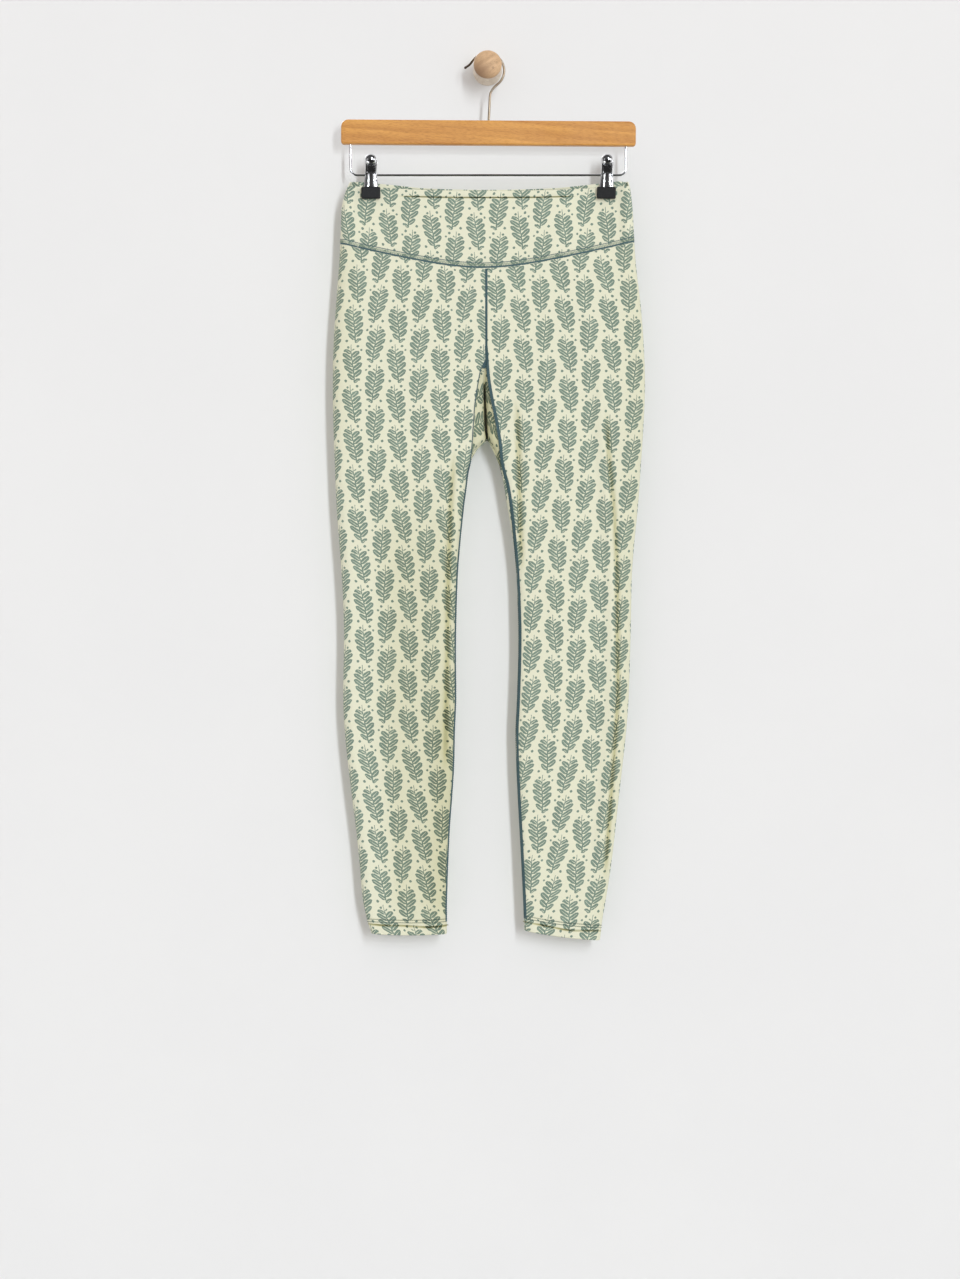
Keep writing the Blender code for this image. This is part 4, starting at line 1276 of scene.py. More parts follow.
# %% Build the legs
HEM_STEP = 1.2
PRINT_SHIFT = {
    "right": (11.0, 23.0),
    "left": (33.0, 61.0),
    "front": (0.0, 7.0),
    "back": (17.0, 31.0),
    "gusset": (5.0, 0.0),
}


def build_leg(side):
    face, closes, fold_column = leg_grid(side)
    length = along_rows(face)
    across = OUTWARD[side] * from_column(length, fold_column) + PRINT_SHIFT[side][0]
    flat = np.stack([across, face[..., 2] + PRINT_SHIFT[side][1]], -1)
    up = face[..., 2] - hem_height(side, face[..., 0])
    turn_up = HEM_HEIGHT + NEEDLE_GAP
    wall = LEG_WALL + HEM_EXTRA * ease((turn_up + HEM_STEP / 2 - up) / HEM_STEP)
    inner_kind = np.where(up < turn_up, 0, 1)
    halves = [leg_shade(side, face[..., 0], face[..., 2], front) for front in (FRONT, BACK)]
    shade = np.where(np.arange(face.shape[1]) <= fold_column, *halves)
    leg = cloth_wall(side + "_leg", face, flat, wall, inner_kind, shade, INSIDE_POINT[side], closes)
    hand_over(leg, "leg_" + side)
    print(side, "leg:", len(leg.data.polygons), "faces, panel", round(length[0].max()), "mm wide at the top")


for side in ("right", "left"):
    build_leg(side)

# %% [markdown]
# ### The waistband
#
# The band is a deep, doubled strip of the same cloth that dips in a soft V at the front. Its upper
# edge is folded over and stitched down inside, which leaves a roll with a crease under it, except
# where the clips press it flat. Where the band joins the legs it carries a low, stitched strip.

# %% The waistband's roll, crease and strip
STRIP = (0.6, 7.2)
ROLL = 9.0
ROLL_ENDS = (-118.0, 116.0)
ROLL_FADE = 26.0
CREASE_DEPTH = 3.0
CREASE_HALF = 0.8
PRESSED_ABOVE = -180.0


def rolled(x):
    """1 where the upper edge is rolled over, 0 at the clips and beyond."""
    return ease((x - ROLL_ENDS[0]) / ROLL_FADE) * ease((ROLL_ENDS[1] - x) / ROLL_FADE)


def band_relief(x, z, front):
    """The rolled upper edge with its crease, and the stitched strip along the waist seam."""
    down = band_top(x, front) - z
    crease = np.maximum(1 - np.abs(down - ROLL) / CREASE_HALF, 0.0)
    roll = 1.5 * np.sin(np.pi * np.clip(down / (ROLL + 1.0), 0, 1)) ** 0.7 - CREASE_DEPTH * crease
    wave = 0.6 * np.sin(x / 17 + 0.6) * hill(down - ROLL - 5, 6)
    up = z - seam_height(x, front)
    strip = 0.4 * ease((up - STRIP[0]) / 0.8) * ease((STRIP[1] - up) / 0.8)
    lines = 0.35 * (hill(up - STRIP[0] - 0.2, 0.5) + hill(up - STRIP[1], 0.6))
    puckers = 0.2 * np.sin(x / 1.6 + 1.2 * np.sin(x / 7.7)) + 0.22 * np.sin(x / 4.3)
    return (roll + wave) * rolled(x) + strip - lines + puckers * hill(up - 5, 6)


def band_shade(x, z, front):
    """How dark the crease under the rolled edge is."""
    uneven = 0.8 + 0.2 * np.sin(x / 23 + 0.6) * np.sin(x / 9)
    return 0.62 * uneven * hill(band_top(x, front) - z - ROLL, 0.75) * rolled(x)


def band_face(x, z, front):
    """Where the band's outer face is: always a little way off the middle between the layers."""
    y = np.where(x < CENTRE[FRONT], cloth_y("right", x, z, front), cloth_y("left", x, z, front))
    edges = np.minimum(x - outer_edge("right", z), outer_edge("left", z) - x)
    middle, held = between_layers(x, z)
    out = band_relief(x, z, front) * rounded(edges, 9.0) * (1 - held * (z > PRESSED_ABOVE))
    return np.minimum(y - out, middle - GAP / 2) if front else np.maximum(y + out, middle + GAP / 2)


print("the roll is", ROLL, "mm high, with a crease", CREASE_DEPTH, "mm deep under it")

# %% Build the waistband
BAND_WALL = 1.8
BAND_EDGE = 12.0
BAND_EDGE_COUNT = 8
BAND_COLUMNS = 116
BAND_SIDE = 0.02
BAND_DIP = 0.3
BAND_LOW, BAND_HIGH = 9.0, 14.0
BAND_LOW_ROWS, BAND_MIDDLE_ROWS = 18, 26
BAND_START = -200.0


def band_grid(front):
    """The band's outer face: rows from the seam up, close together at the strip and the crease."""
    fixed, share = columns_between(BAND_EDGE, BAND_EDGE_COUNT, BAND_COLUMNS, BAND_SIDE)
    crease = BAND_HIGH - ROLL + CREASE_HALF * np.linspace(-1.5, 1.5, 7)
    below, above = np.linspace(0, crease[0], 6)[:-1], np.linspace(crease[-1], BAND_HIGH, 13)[1:]
    high = np.concatenate([below, crease, above])
    middle = np.linspace(0, 1, BAND_MIDDLE_ROWS + 1)[1:-1]
    rows = spread(np.linspace(0, BAND_LOW, BAND_LOW_ROWS + 1), middle, high)
    up_fixed, up_share = (part[:, None] for part in rows)
    z = np.full((len(up_fixed), len(fixed)), BAND_START)
    for _ in range(SETTLE_ROUNDS):
        first, last = outer_edge("right", z), outer_edge("left", z)
        x = first + fixed + share * (last - first - 2 * BAND_EDGE)
        low = seam_height(x, front) + GAP / 2
        z = low + up_fixed + up_share * (band_top(x, front) - low - BAND_LOW - BAND_HIGH)
    return np.stack([x, band_face(x, z, front), z], -1)


def build_band(front):
    face = band_grid(front)
    name = FACE_NAME[front]
    x, z = face[..., 0], face[..., 2]
    across = from_column(along_rows(face), face.shape[1] // 2) * (1 if front else -1)
    dip = BAND_DIP * (seam_height(x, FRONT) - SEAM_CENTRE[1])
    flat = np.stack([across + PRINT_SHIFT[name][0], z - dip + PRINT_SHIFT[name][1]], -1)
    wall, inner_kind = np.full(x.shape, BAND_WALL), np.zeros(x.shape, int)
    inside_point = (0.0, CLOTH_Y + (40 if front else -40), BAND_START)
    shade = band_shade(x, z, front)
    band = cloth_wall(name + "_waistband", face, flat, wall, inner_kind, shade, inside_point)
    hand_over(band, "waistband_" + name)
    print(name, "waistband:", len(band.data.polygons), "faces")


for front in (FRONT, BACK):
    build_band(front)

# %% [markdown]
# ### The gusset
#
# A small kite of cloth sits between the legs so that they can spread. Hung up, it folds inward down
# its middle and leaves a narrow, dark slot. Its rows run from the front tip down to the crotch and up
# again to the back tip, its columns from one seam into the fold and out to the other seam. Its edges
# lie a little way under the legs, as a seam allowance does.

# %% The folded half of the gusset
GUSSET_ABOVE = 3.5
GUSSET_BEND = 1.5
GUSSET_COLUMNS = 30
GUSSET_SUNK = 1.9
GUSSET_UNDER = 1.4
Slot = namedtuple("Slot", "depth width")
SLOTS = {FRONT: (Slot(2.6, 3.2), Slot(6.0, 0.8)), BACK: (Slot(1.5, 1.5),)}
SLOT_SHARE = 0.88
SLOT_PINCH = 0.85
SLOT_WIDTH = 1.2
# SHADED, SLOT_DARK and SLOT_DARKEST set painted shade over the gusset's front and in its slot.
SHADED = {"right": 0.15, "left": 0.25}
SLOT_DARK, SLOT_DARKEST = 0.8, 0.95
SLOT_WIDENS = -400.0
SLOT_START = 23.0
SLOT_FADE = 18.0


def gusset_half(side, front, along, edge):
    """Points from the fold to the seam, a row for each place along the fold."""
    tip = SEAM_TIP[front] + GUSSET_ABOVE
    across = np.linspace(0, 1, GUSSET_COLUMNS + 1)[None, :] ** 1.5
    along, edge = along[:, None], edge[:, None]
    fold = tip + (CROTCH - tip) * along
    z = fold + (edge - fold) * across**GUSSET_BEND
    inner, seam = inner_edge(side, z), gusset_seam(side, z, front)
    seam = np.where((seam - inner) * OUTWARD[side] < 0, inner, seam) + OUTWARD[side] * GUSSET_UNDER
    share = across ** (1 + 5 * along**2) * (1 - along**8 * (1 - across**8))
    x = inner + (seam - inner) * share
    below_tip = ease((tip - SLOT_START - z) / SLOT_FADE)
    slot = sum(part.depth * hill(x - inner, part.width) for part in SLOTS[front])
    y = cloth_y(side, x, z, front)
    inward = np.minimum(GUSSET_SUNK + slot * below_tip, SLOT_SHARE * np.abs(y - CLOTH_Y))
    above = below_tip * ease((z - CROTCH + 4) / 8)
    wide = SLOT_DARK * (0.7 + 0.6 * ease((SLOT_WIDENS - z) / 50))
    # Painted shade through fold_shade: the slot's bottom, and the whole front a little, besides the real
    # fold.
    shade = above * SLOT_DARKEST * hill(x - inner, wide) + SHADED[side] * ease((tip - z) / 8)
    x = inner + (x - inner) * (1 - SLOT_PINCH * hill(x - inner, SLOT_WIDTH) * above)
    return np.stack([x, y + (inward if front else -inward), z, shade if front else 0 * shade], -1)


print("the slot is sunk by", [part.depth for part in SLOTS[FRONT]], "mm in front")

# %% Build the gusset
GUSSET_LEVELS = (-384.5, -398.0, -415.0, -432.0, -446.0, -462.0, -476.0, -490.0)
GUSSET_END = 4.0
GUSSET_ROWS = 5
THIN_AT_ARCH = 0.25


def gusset_rows(front, side):
    """How far along the fold each row is, and the height where it meets the seam."""
    tip = SEAM_TIP[front] + GUSSET_ABOVE
    between = [level for level in GUSSET_LEVELS if level < tip - 4]
    levels = [tip, *between, GUSSET_CORNER[side] + GUSSET_END]
    last = len(levels) - 1
    place = np.linspace(0, last, last * GUSSET_ROWS + 1)
    edge = np.interp(place, range(last + 1), levels)
    along = np.maximum(place / last, 0.02)
    return (along, edge) if front else (along[-2::-1], edge[-2::-1])


def build_gusset():
    halves = {}
    for side in ("right", "left"):
        parts = [gusset_half(side, front, *gusset_rows(front, side)) for front in (FRONT, BACK)]
        halves[side] = np.concatenate(parts)
    face = np.concatenate([halves["right"][:, ::-1], halves["left"]], axis=1)
    face, shade = face[..., :3], face[..., 3]
    fold = face[:, GUSSET_COLUMNS]
    down = along_line(fold)[:, None] * np.ones(face.shape[1])
    across = from_column(along_rows(face), face.shape[1] // 2)
    flat = np.stack([down, across], -1) + PRINT_SHIFT["gusset"]
    from_arch = np.abs(np.arange(len(face)) - np.argmin(fold[:, 2]))[:, None]
    thin = THIN_AT_ARCH + (1 - THIN_AT_ARCH) * ease(from_arch / 9)
    wall, inner_kind = LEG_WALL * thin * np.ones(face.shape[1]), np.zeros(shade.shape, int)
    inside_point = (0.0, CLOTH_Y, -420.0)
    gusset = cloth_wall("crotch_gusset", face, flat, wall, inner_kind, shade, inside_point)
    hand_over(gusset, "gusset")
    print("gusset:", face.shape, "points, fold", round(down.max()), "mm long")


build_gusset()

# %% [markdown]
# ## Stitching
#
# Stretch cloth is sewn with cover stitches: two rows of needle stitches side by side, and a looser
# thread that goes to and fro between them. The thread is a slate blue a little darker than the print,
# and the waist seam's cover thread is sage. Each needle stitch is its own short piece of thread that
# rises out of the cloth and dives back in. A curve object with a round bevel holds all the stitches of
# a seam, one spline each, which keeps it light.
#
# The loops of a real seam lie so close that no cloth shows between them. Modelling each would take
# hundreds of thousands of faces, so a thin closed strip under the threads, the bed, has them as relief
# in its material. A small tack holds the gusset's front tip, made of the same bed and needle stitches.


# %% Thread materials
def thread_material(name, dark, light):
    settings = {"Roughness": 0.7, "Sheen_Weight": 0.1, "Specular_IOR_Level": 0.3}
    material, tree, shader = new_material(name, **settings)
    twist = noise(tree, on_object(tree), 4000.0, 2.0).rise(0.3, 0.7)
    join(tree, mix_colours(tree, twist, dark, light), shader.inputs["Base Color"])
    add_bump(tree, shader, twist, 0.00006)
    return material


def thread_bed_material():
    """Many loops of thread side by side. On the map, x runs along the seam and y across it."""
    settings = {"Roughness": 0.75, "Specular_IOR_Level": 0.25}
    material, tree, shader = new_material("slate_thread_bed", **settings)
    place = on_cloth(tree)
    along, across = (part / MM for part in split(tree, place)[:2])
    slant = along * 0.9 + abs((across * 0.6).math("FRACT") - 0.5) * 1.4 + noise(tree, place, 700.0) * 0.8
    loops = (slant * (2 * math.pi)).math("SINE") * 0.5 + 0.5
    tone_patch = noise(tree, place, 320.0, 2.0).rise(0.3, 0.7)
    # Darker between the loops: painted shade. The noise patches add random tone.
    colour = mix_colours(tree, loops * 0.75 + tone_patch * 0.25, BED_DARK, BED_LIGHT)
    join(tree, colour, shader.inputs["Base Color"])
    add_bump(tree, shader, loops, 0.0002)
    return material


SLATE_DARK, SLATE_LIGHT = rgb(0.040, 0.092, 0.110), rgb(0.088, 0.160, 0.178)
PALE_DARK, PALE_LIGHT = rgb(0.210, 0.290, 0.225), rgb(0.370, 0.440, 0.320)
BED_DARK, BED_LIGHT = rgb(0.062, 0.128, 0.146), rgb(0.132, 0.212, 0.226)
slate_thread = thread_material("slate_thread", SLATE_DARK, SLATE_LIGHT)
sage_thread = thread_material("sage_thread", PALE_DARK, PALE_LIGHT)
thread_bed = thread_bed_material()
print("threads:", slate_thread.name, "and", sage_thread.name)

# %% Seam beds and threads
THREAD, THREAD_SMOOTH = 0.50, 1
BED_LIFT = 0.16
BED_SUNK = 0.25


def solid_object(name, points, faces, material, places=None):
    """A smooth-shaded closed mesh from points in mm; places are its corners' points on the cloth map."""
    mesh = bpy.data.meshes.new(name)
    mesh.from_pydata((np.asarray(points) * MM).tolist(), [], faces)
    if places:
        mesh.uv_layers.new(name="cloth").uv.foreach_set("vector", (np.array(places) * MM).ravel())
    face_outward(mesh)
    mesh.materials.append(material)
    return put_in_scene(name, mesh)


def swept_faces(rings, size):
    """Faces between closed rings of points, each of the same size, and one over either end."""
    index = np.arange(rings * size).reshape(rings, size)
    around = cells(index[:, [*range(size), 0]]).reshape(-1, 4)
    return [*around.tolist(), index[0].tolist(), index[-1].tolist()]


def seam_bed(name, lines):
    """The closely laid thread of a seam: a thin, closed strip over all the lines."""
    lift = BED_LIFT * np.sin(np.pi * (np.arange(len(lines)) + 0.5) / len(lines))
    top = np.stack([at + out * up for (at, out), up in zip(lines, lift)], 1)
    low = np.stack([at - out * BED_SUNK for at, out in lines], 1)
    ring = np.concatenate([top, low[:, ::-1]], axis=1)
    along = along_line(lines[0][0])
    width = np.linalg.norm(lines[0][0] - lines[-1][0], axis=1).mean()
    across = np.concatenate([np.linspace(0, width, len(lines)), np.linspace(width, 0, len(lines))])
    places = np.stack(np.meshgrid(along, [*across, across[0]], indexing="ij"), -1)
    places = cells(places).reshape(-1, 2).tolist()
    places += [(along[end], value) for end in (0, -1) for value in across]
    faces = swept_faces(*ring.shape[:2])
    return hand_over(solid_object(name, ring.reshape(-1, 3), faces, thread_bed, places))


def round_wire(name, routes, thickness, smooth, material, kind="POLY"):
    """One curve object of threads or wires; each route is a list of points in mm."""
    curve = bpy.data.curves.new(name, "CURVE")
    curve.dimensions = "3D"
    curve.bevel_depth = thickness / 2 * MM
    curve.bevel_resolution = smooth
    curve.use_fill_caps = True
    for route in routes:
        spline = curve.splines.new(kind)
        spline.points.add(len(route) - 1)
        spline.points.foreach_set("co", np.c_[np.array(route) * MM, np.ones(len(route))].ravel())
        if kind == "NURBS":
            spline.order_u = 4
            spline.use_endpoint_u = True
            spline.resolution_u = 5
    curve.materials.append(material)
    return put_in_scene(name, curve)


def sewn_piece(name, threads, material=slate_thread):
    """All the short threads of one seam."""
    return hand_over(round_wire(name, threads, THREAD, THREAD_SMOOTH, material))


print("a thread is", THREAD, "mm thick")

# %% Stitches
STITCH = 2.5
NEEDLE_LIFT = np.array([0.0, 0.34, 0.42, 0.34, 0.0])
LOOPER_LIFT = 0.26


def evenly(points, outward, count):
    """Five points and directions for each of count stitches along a line."""
    length = along_line(points)
    at = np.linspace(0, length[-1], count * 5 + 1)
    both = np.concatenate([points, outward], axis=1)
    both = np.stack([np.interp(at, length, both[:, k]) for k in range(6)], 1)
    return both[:, :3], both[:, 3:]


def stitch_count(points, step):
    return max(int(along_line(points)[-1] / step), 1)


def needle_row(line, step=STITCH):
    """Separate stitches along a line on the cloth."""
    count = stitch_count(line[0], step)
    at, out = evenly(*line, count)
    parts = [slice(5 * k, 5 * k + 5) for k in range(count)]
    return [at[part] + out[part] * NEEDLE_LIFT[:, None] for part in parts]


def looper(lines, step):
    """One thread that crosses a strip to and fro, twice in each step, over all the lines given."""
    count = stitch_count(lines[0][0], step)
    lifted = []
    for line in lines:
        at, out = evenly(*line, count)
        lifted.append(at + out * LOOPER_LIFT)
    across = len(lines) - 1
    thread = []
    for k in range(count):
        thread += [lifted[j][5 * k + round(1.5 * j / across)] for j in range(across + 1)]
        thread += [lifted[j][5 * k + 4 - round(1.5 * j / across)] for j in range(across, -1, -1)]
    return [np.array(thread)]


def cover_stitch(lines, loop_step):
    """Needle rows on the first and the last line, and the looper over all of them."""
    return needle_row(lines[0]) + needle_row(lines[-1]) + looper(lines, loop_step)


print("one stitch every", STITCH, "mm")

# %% [markdown]
# Where the seams run: over the waist seam, down the centre front and back, along the gusset, down the
# inseams and twice round each hem. Each line is read off the cloth's own surface, so the thread lies
# on it everywhere, also where the cloth rolls over at the sides.

# %% The left inseam
SeamPlace = namedtuple("SeamPlace", "z x")
LEFT_INSEAM = (
    SeamPlace(-356, -1.9),
    SeamPlace(-378, -0.4),
    SeamPlace(-399, 1.7),
    SeamPlace(-429, 6.8),
    SeamPlace(-445, 10.2),
    SeamPlace(-460, 13.0),
    SeamPlace(-480, 16.2),
    SeamPlace(-500, 18.0),
    SeamPlace(-515, 21.2),
    SeamPlace(-530, 25.4),
    SeamPlace(-558, 30.0),
    SeamPlace(-590, 33.6),
    SeamPlace(-622, 36.6),
    SeamPlace(-643, 38.3),
    SeamPlace(-705, 40.9),
    SeamPlace(-748, 40.9),
    SeamPlace(-804, 39.2),
    SeamPlace(-846, 37.4),
    SeamPlace(-888, 38.2),
    SeamPlace(-931, 40.2),
    SeamPlace(-1057, 46.8),
    SeamPlace(-1112, 48.6),
)
print(len(LEFT_INSEAM), "places along the left inseam")

# %% Where the seams run
WAIST_LOWER = (0.4, 0.9, 1.5, 2.1)
WAIST_UPPER = (6.2, 6.6, 7.0)
WAIST_MIDDLE = (2.4, 3.4, 4.6, 5.7)
WAIST_LOOP = 2.0
STRIP_ROWS = (-1.7, -0.6, 0.6, 1.7)
STRIP_SHARES = np.array([0.0, 0.33, 0.67, 1.0])[:, None]
NARROW_STRIP, WIDE_STRIP = 0.7, 2.21
CENTRE_ROWS = (-0.6, 0.2, 1.2, 2.0)
STRIP_LOOP = 2.2
HEM_ROWS = (HEM_HEIGHT, HEM_HEIGHT + NEEDLE_GAP)
TACK_ROWS = (-0.4, -1.3, -2.2, -3.1, -4.0)
TACK_TOP, TACK_SLOPE, TACK_LOW = 7.0, 2.2, -6.0
SEAM_STEP = 1.5


def heights(top, bottom):
    return np.linspace(top, bottom, int((top - bottom) / SEAM_STEP) + 1)


def round_spacing(first, last, count=160):
    """Places from one rolled edge to the other, closest together at the edges."""
    turn = np.linspace(0, np.pi, count)
    return first + (last - first) * (0.0002 + 0.9996 * (1 - np.cos(turn)) / 2)


def waist_lines(front, rows):
    lines = []
    for up in rows:
        x = round_spacing(outer_edge("right", -215.0), outer_edge("left", -215.0), 260)
        z = seam_height(x, front) + GAP / 2 + up
        inside = (x > outer_edge("right", z) + 0.02) & (x < outer_edge("left", z) - 0.02)
        lines.append(skin("band", x[inside], z[inside], front))
    return lines


def centre_lines(front):
    centre = CENTRE[front]
    z = heights(seam_height(centre, front) - 0.8, SEAM_TIP[front])
    sides = ["right" if away < 0 else "left" for away in CENTRE_ROWS]
    return [skin(side, centre + away, z, front) for side, away in zip(sides, CENTRE_ROWS)]


def tack_lines():
    """The gusset's front tip is held by a small triangle of stitches."""
    lines = []
    for away in TACK_ROWS:
        z = SEAM_TIP[FRONT] + np.linspace(TACK_TOP + TACK_SLOPE * away, TACK_LOW, 9)
        lines.append(skin("right", CENTRE[FRONT] + away, z, FRONT))
    return lines


def gusset_lines(side, front):
    """Along one gusset seam, on the leg's side of it."""
    z = heights(SEAM_TIP[front], GUSSET_CORNER[side])
    wide = NARROW_STRIP if side == "right" and front else WIDE_STRIP
    places = gusset_seam(side, z, front) + OUTWARD[side] * (0.3 + wide * STRIP_SHARES)
    return [skin(side, place, z, front) for place in places]


def right_inseam_lines():
    """The right leg's inseam lies on the fold itself."""
    z = heights(GUSSET_CORNER["right"], HEMS["right"].inner + HEM_HEIGHT)
    edge = inner_edge("right", z) - 0.2
    places = ((-1.3, FRONT), (-0.6, FRONT), (0.0, FRONT), (0.0, BACK))
    return [skin("right", edge + away, z, front) for away, front in places]


def left_inseam_lines():
    """The left leg's inseam has turned to the front, and goes on up as the gusset's left front seam."""
    z = heights(LEFT_INSEAM[0].z, HEMS["left"].inner + HEM_HEIGHT)
    middle = through(LEFT_INSEAM, z, "x")
    return [skin("left", middle + away, z, FRONT) for away in STRIP_ROWS]


def hem_line(side, up):
    """Once round a leg, a fixed height above its hem."""
    z = HEMS[side].inner + up
    for _ in range(SETTLE_ROUNDS):
        x = round_spacing(inner_edge(side, z), outer_edge(side, z), 90)
        z = hem_height(side, x) + up
    halves = skin(side, x, z, FRONT), skin(side, x[::-1], z[::-1], BACK)
    return [np.concatenate(parts) for parts in zip(*halves)]


left_length = along_line(left_inseam_lines()[0][0])[-1]
print(f"the left inseam with the gusset's seam above it is {left_length:.0f} mm long")

# %% Sew the seams
for front, name in FACE_NAME.items():
    lower, upper = waist_lines(front, WAIST_LOWER), waist_lines(front, WAIST_UPPER)
    seam_bed("waist_seam_lower_" + name, lower)
    seam_bed("waist_seam_upper_" + name, upper)
    needles = needle_row(lower[0]) + needle_row(lower[-1]) + needle_row(upper[1])
    sewn_piece("waist_stitching_" + name, needles)
    cover = looper(waist_lines(front, WAIST_MIDDLE), WAIST_LOOP)
    sewn_piece("waist_cover_" + name, cover, material=sage_thread)
    centre = centre_lines(front)
    seam_bed("centre_seam_" + name, centre)
    sewn_piece("centre_stitching_" + name, cover_stitch(centre, STRIP_LOOP))
for side, lines in (("left", left_inseam_lines()), ("right", right_inseam_lines())):
    seam_bed(side + "_inseam", lines)
    sewn_piece(side + "_inseam_stitching", cover_stitch(lines, STRIP_LOOP))
seam_bed("gusset_tack", tack_lines())
gusset_threads = [thread for line in tack_lines() for thread in needle_row(line)]
for side, front in (("right", FRONT), ("right", BACK), ("left", BACK)):
    lines = gusset_lines(side, front)
    seam_bed(f"gusset_seam_{side}_{FACE_NAME[front]}", lines)
    gusset_threads += cover_stitch(lines, STRIP_LOOP)
sewn_piece("gusset_stitching", gusset_threads)
for side in ("right", "left"):
    rows = [needle_row(hem_line(side, up)) for up in HEM_ROWS]
    sewn_piece(side + "_hem_stitching", rows[0] + rows[1])
print("gusset threads:", len(gusset_threads))

# %% [markdown]
# ## Wood, metal and rubber
#
# The bar is lacquered beech. Its grain runs lengthwise as fine, short, darker dashes over a broad soft
# figure, and both wander a little. The same node group, with other colours, serves the bare wood of
# the peg. Noise stretched along one axis gives the dashes: squeezed across the grain, long along it.

# %% Wood grain as a node group
BEECH, BEECH_DARK = rgb(0.735, 0.362, 0.078), rgb(0.430, 0.160, 0.025)
GRAIN_SLOPE, GRAIN_WANDER = 0.09, 0.006


def grain_group():
    """Grain along the first axis of Place, which is in metres."""
    tree, given, out = new_group(
        "Wood grain",
        (("Place", VECTOR, None), ("Light", COLOUR, BEECH), ("Dark", COLOUR, BEECH_DARK)),
        (("Color", COLOUR), ("Height", FLOAT), ("Worn", FLOAT)),
    )
    along, deep, up = split(tree, given["Place"])
    wander = noise(tree, stretched(tree, given["Place"], (16, 30, 30)), 1.0, 1.0) - 0.5
    up = up + along * GRAIN_SLOPE + wander * GRAIN_WANDER
    parts = {"X": along, "Y": deep, "Z": up}
    place = add_node(tree, "ShaderNodeCombineXYZ", parts).outputs[0]
    figure = noise(tree, stretched(tree, place, (7, 90, 150)), 1.0, 3.0)
    rings = (up * 520 + figure * 9).math("SINE") * 0.5 + 0.5
    dashes = noise(tree, stretched(tree, place, (150, 1300, 1300)), 1.0, 2.0).rise(0.46, 0.66)
    pores = noise(tree, stretched(tree, place, (420, 2600, 2600)), 1.0, 1.0).rise(0.62, 0.72)
    share = figure.rise(0.3, 0.7) * 0.42 + rings * 0.14 + dashes * 0.36
    wood = mix_colours(tree, share, given["Light"], given["Dark"])
    wood = mix_colours(tree, pores * 0.35, wood, given["Dark"])
    join(tree, wood, out["Color"])
    join(tree, 1 - dashes * 0.35 - pores * 0.65, out["Height"])
    join(tree, noise(tree, place, 30.0, 3.0).rise(0.35, 0.7), out["Worn"])
    return tree


wood_grain = grain_group()
print("wood grain:", len(wood_grain.nodes), "nodes")


# %% Three woods
def wood_material(name, light, dark, roughness, lacquer, depth, turn=(0.0, 0.0, 0.0), knots_and_shade=()):
    """Grain along X, or along the way that turn gives it. Each dark spot fades out from a point: on the knob
    one is a knot and one is painted shade, on the peg's body it is painted shade.
    """
    material, tree, shader = new_material(name, Coat_Weight=lacquer, Coat_Roughness=0.22)
    place = on_object(tree)
    inputs = {"Vector": place, "Rotation": turn}
    grain = add_node(tree, "ShaderNodeVectorRotate", inputs, rotation_type="EULER_XYZ").outputs[0]
    wood = place_group(tree, wood_grain, {"Place": grain, "Light": light, "Dark": dark})
    colour = wood["Color"]
    # Each spot darkens the wood towards brown: the knob's small knot, and painted shade elsewhere.
    for dark_spot in knots_and_shade:
        away = measure(tree, "DISTANCE", place, Vector(dark_spot.centre) * MM)
        near = 1 - away.rise(dark_spot.core * MM, dark_spot.reach * MM)
        colour = mix_colours(tree, near * dark_spot.share, colour, KNOT_AND_SHADE_BROWN)
    join(tree, colour, shader.inputs["Base Color"])
    join(tree, Field(tree, wood["Worn"]) * 0.16 + roughness, shader.inputs["Roughness"])
    add_bump(tree, shader, wood["Height"], depth)
    return material


KNOB_WOOD, KNOB_DARK = rgb(0.720, 0.480, 0.280), rgb(0.400, 0.240, 0.125)
BODY_WOOD, BODY_DARK = rgb(0.820, 0.715, 0.600), rgb(0.560, 0.455, 0.350)
# The brown of the knot, also used for painted shade on the peg.
KNOT_AND_SHADE_BROWN = rgb(0.28, 0.16, 0.09)
KnotAndShade = namedtuple("KnotAndShade", "centre core reach share")
# On the knob: a small knot, then painted shade over its lower left.
KNOB_KNOT_AND_SHADE = (
    KnotAndShade((6.5, -52.0, -5.5), 0.6, 2.4, 0.55),
    KnotAndShade((-13.0, -48.0, -13.0), 3.0, 25.0, 0.85),
)
# Painted shade on the left side of the peg's body.
BODY_PAINTED_SHADE = (KnotAndShade((-17.0, -30.0, -2.0), 4.0, 20.0, 0.30),)
DIAGONAL = (0.0, math.radians(38), 0.0)
ALONG_AXIS = (0.0, 0.0, math.radians(90))
bar_wood = wood_material("lacquered_beech", BEECH, BEECH_DARK, 0.42, 0.08, 0.00006)
knob_wood = wood_material("bare_beech", KNOB_WOOD, KNOB_DARK, 0.58, 0.0, 0.00008, DIAGONAL, KNOB_KNOT_AND_SHADE)
body_wood = wood_material("pale_bare_wood", BODY_WOOD, BODY_DARK, 0.62, 0.0, 0.00008, ALONG_AXIS, BODY_PAINTED_SHADE)
print("woods:", bar_wood.name, knob_wood.name, body_wood.name)

# %% [markdown]
# Plated metal is a mirror with small faults: fingerprints make it a little duller in patches, and
# rolled wire has fine scratches along its length. The hook is warmer in colour than the clips, and near
# its end its colour is painted dark brown: a painted dark reflection.

# %% Metal and rubber
CHROME, CHROME_DULL = rgb(0.80, 0.80, 0.82), rgb(0.70, 0.70, 0.71)
NICKEL, NICKEL_DULL = rgb(0.41, 0.315, 0.225), rgb(0.50, 0.45, 0.39)
# Painted dark reflection near the hook's end.
PAINTED_REFLECTION_BROWN = rgb(0.060, 0.036, 0.022)
HOOK_END = (-28.3, CLOTH_Y, -1.3)
PAINTED_REFLECTION_CORE, PAINTED_REFLECTION_REACH, PAINTED_REFLECTION_SHARE = 9.0, 17.0, 0.9


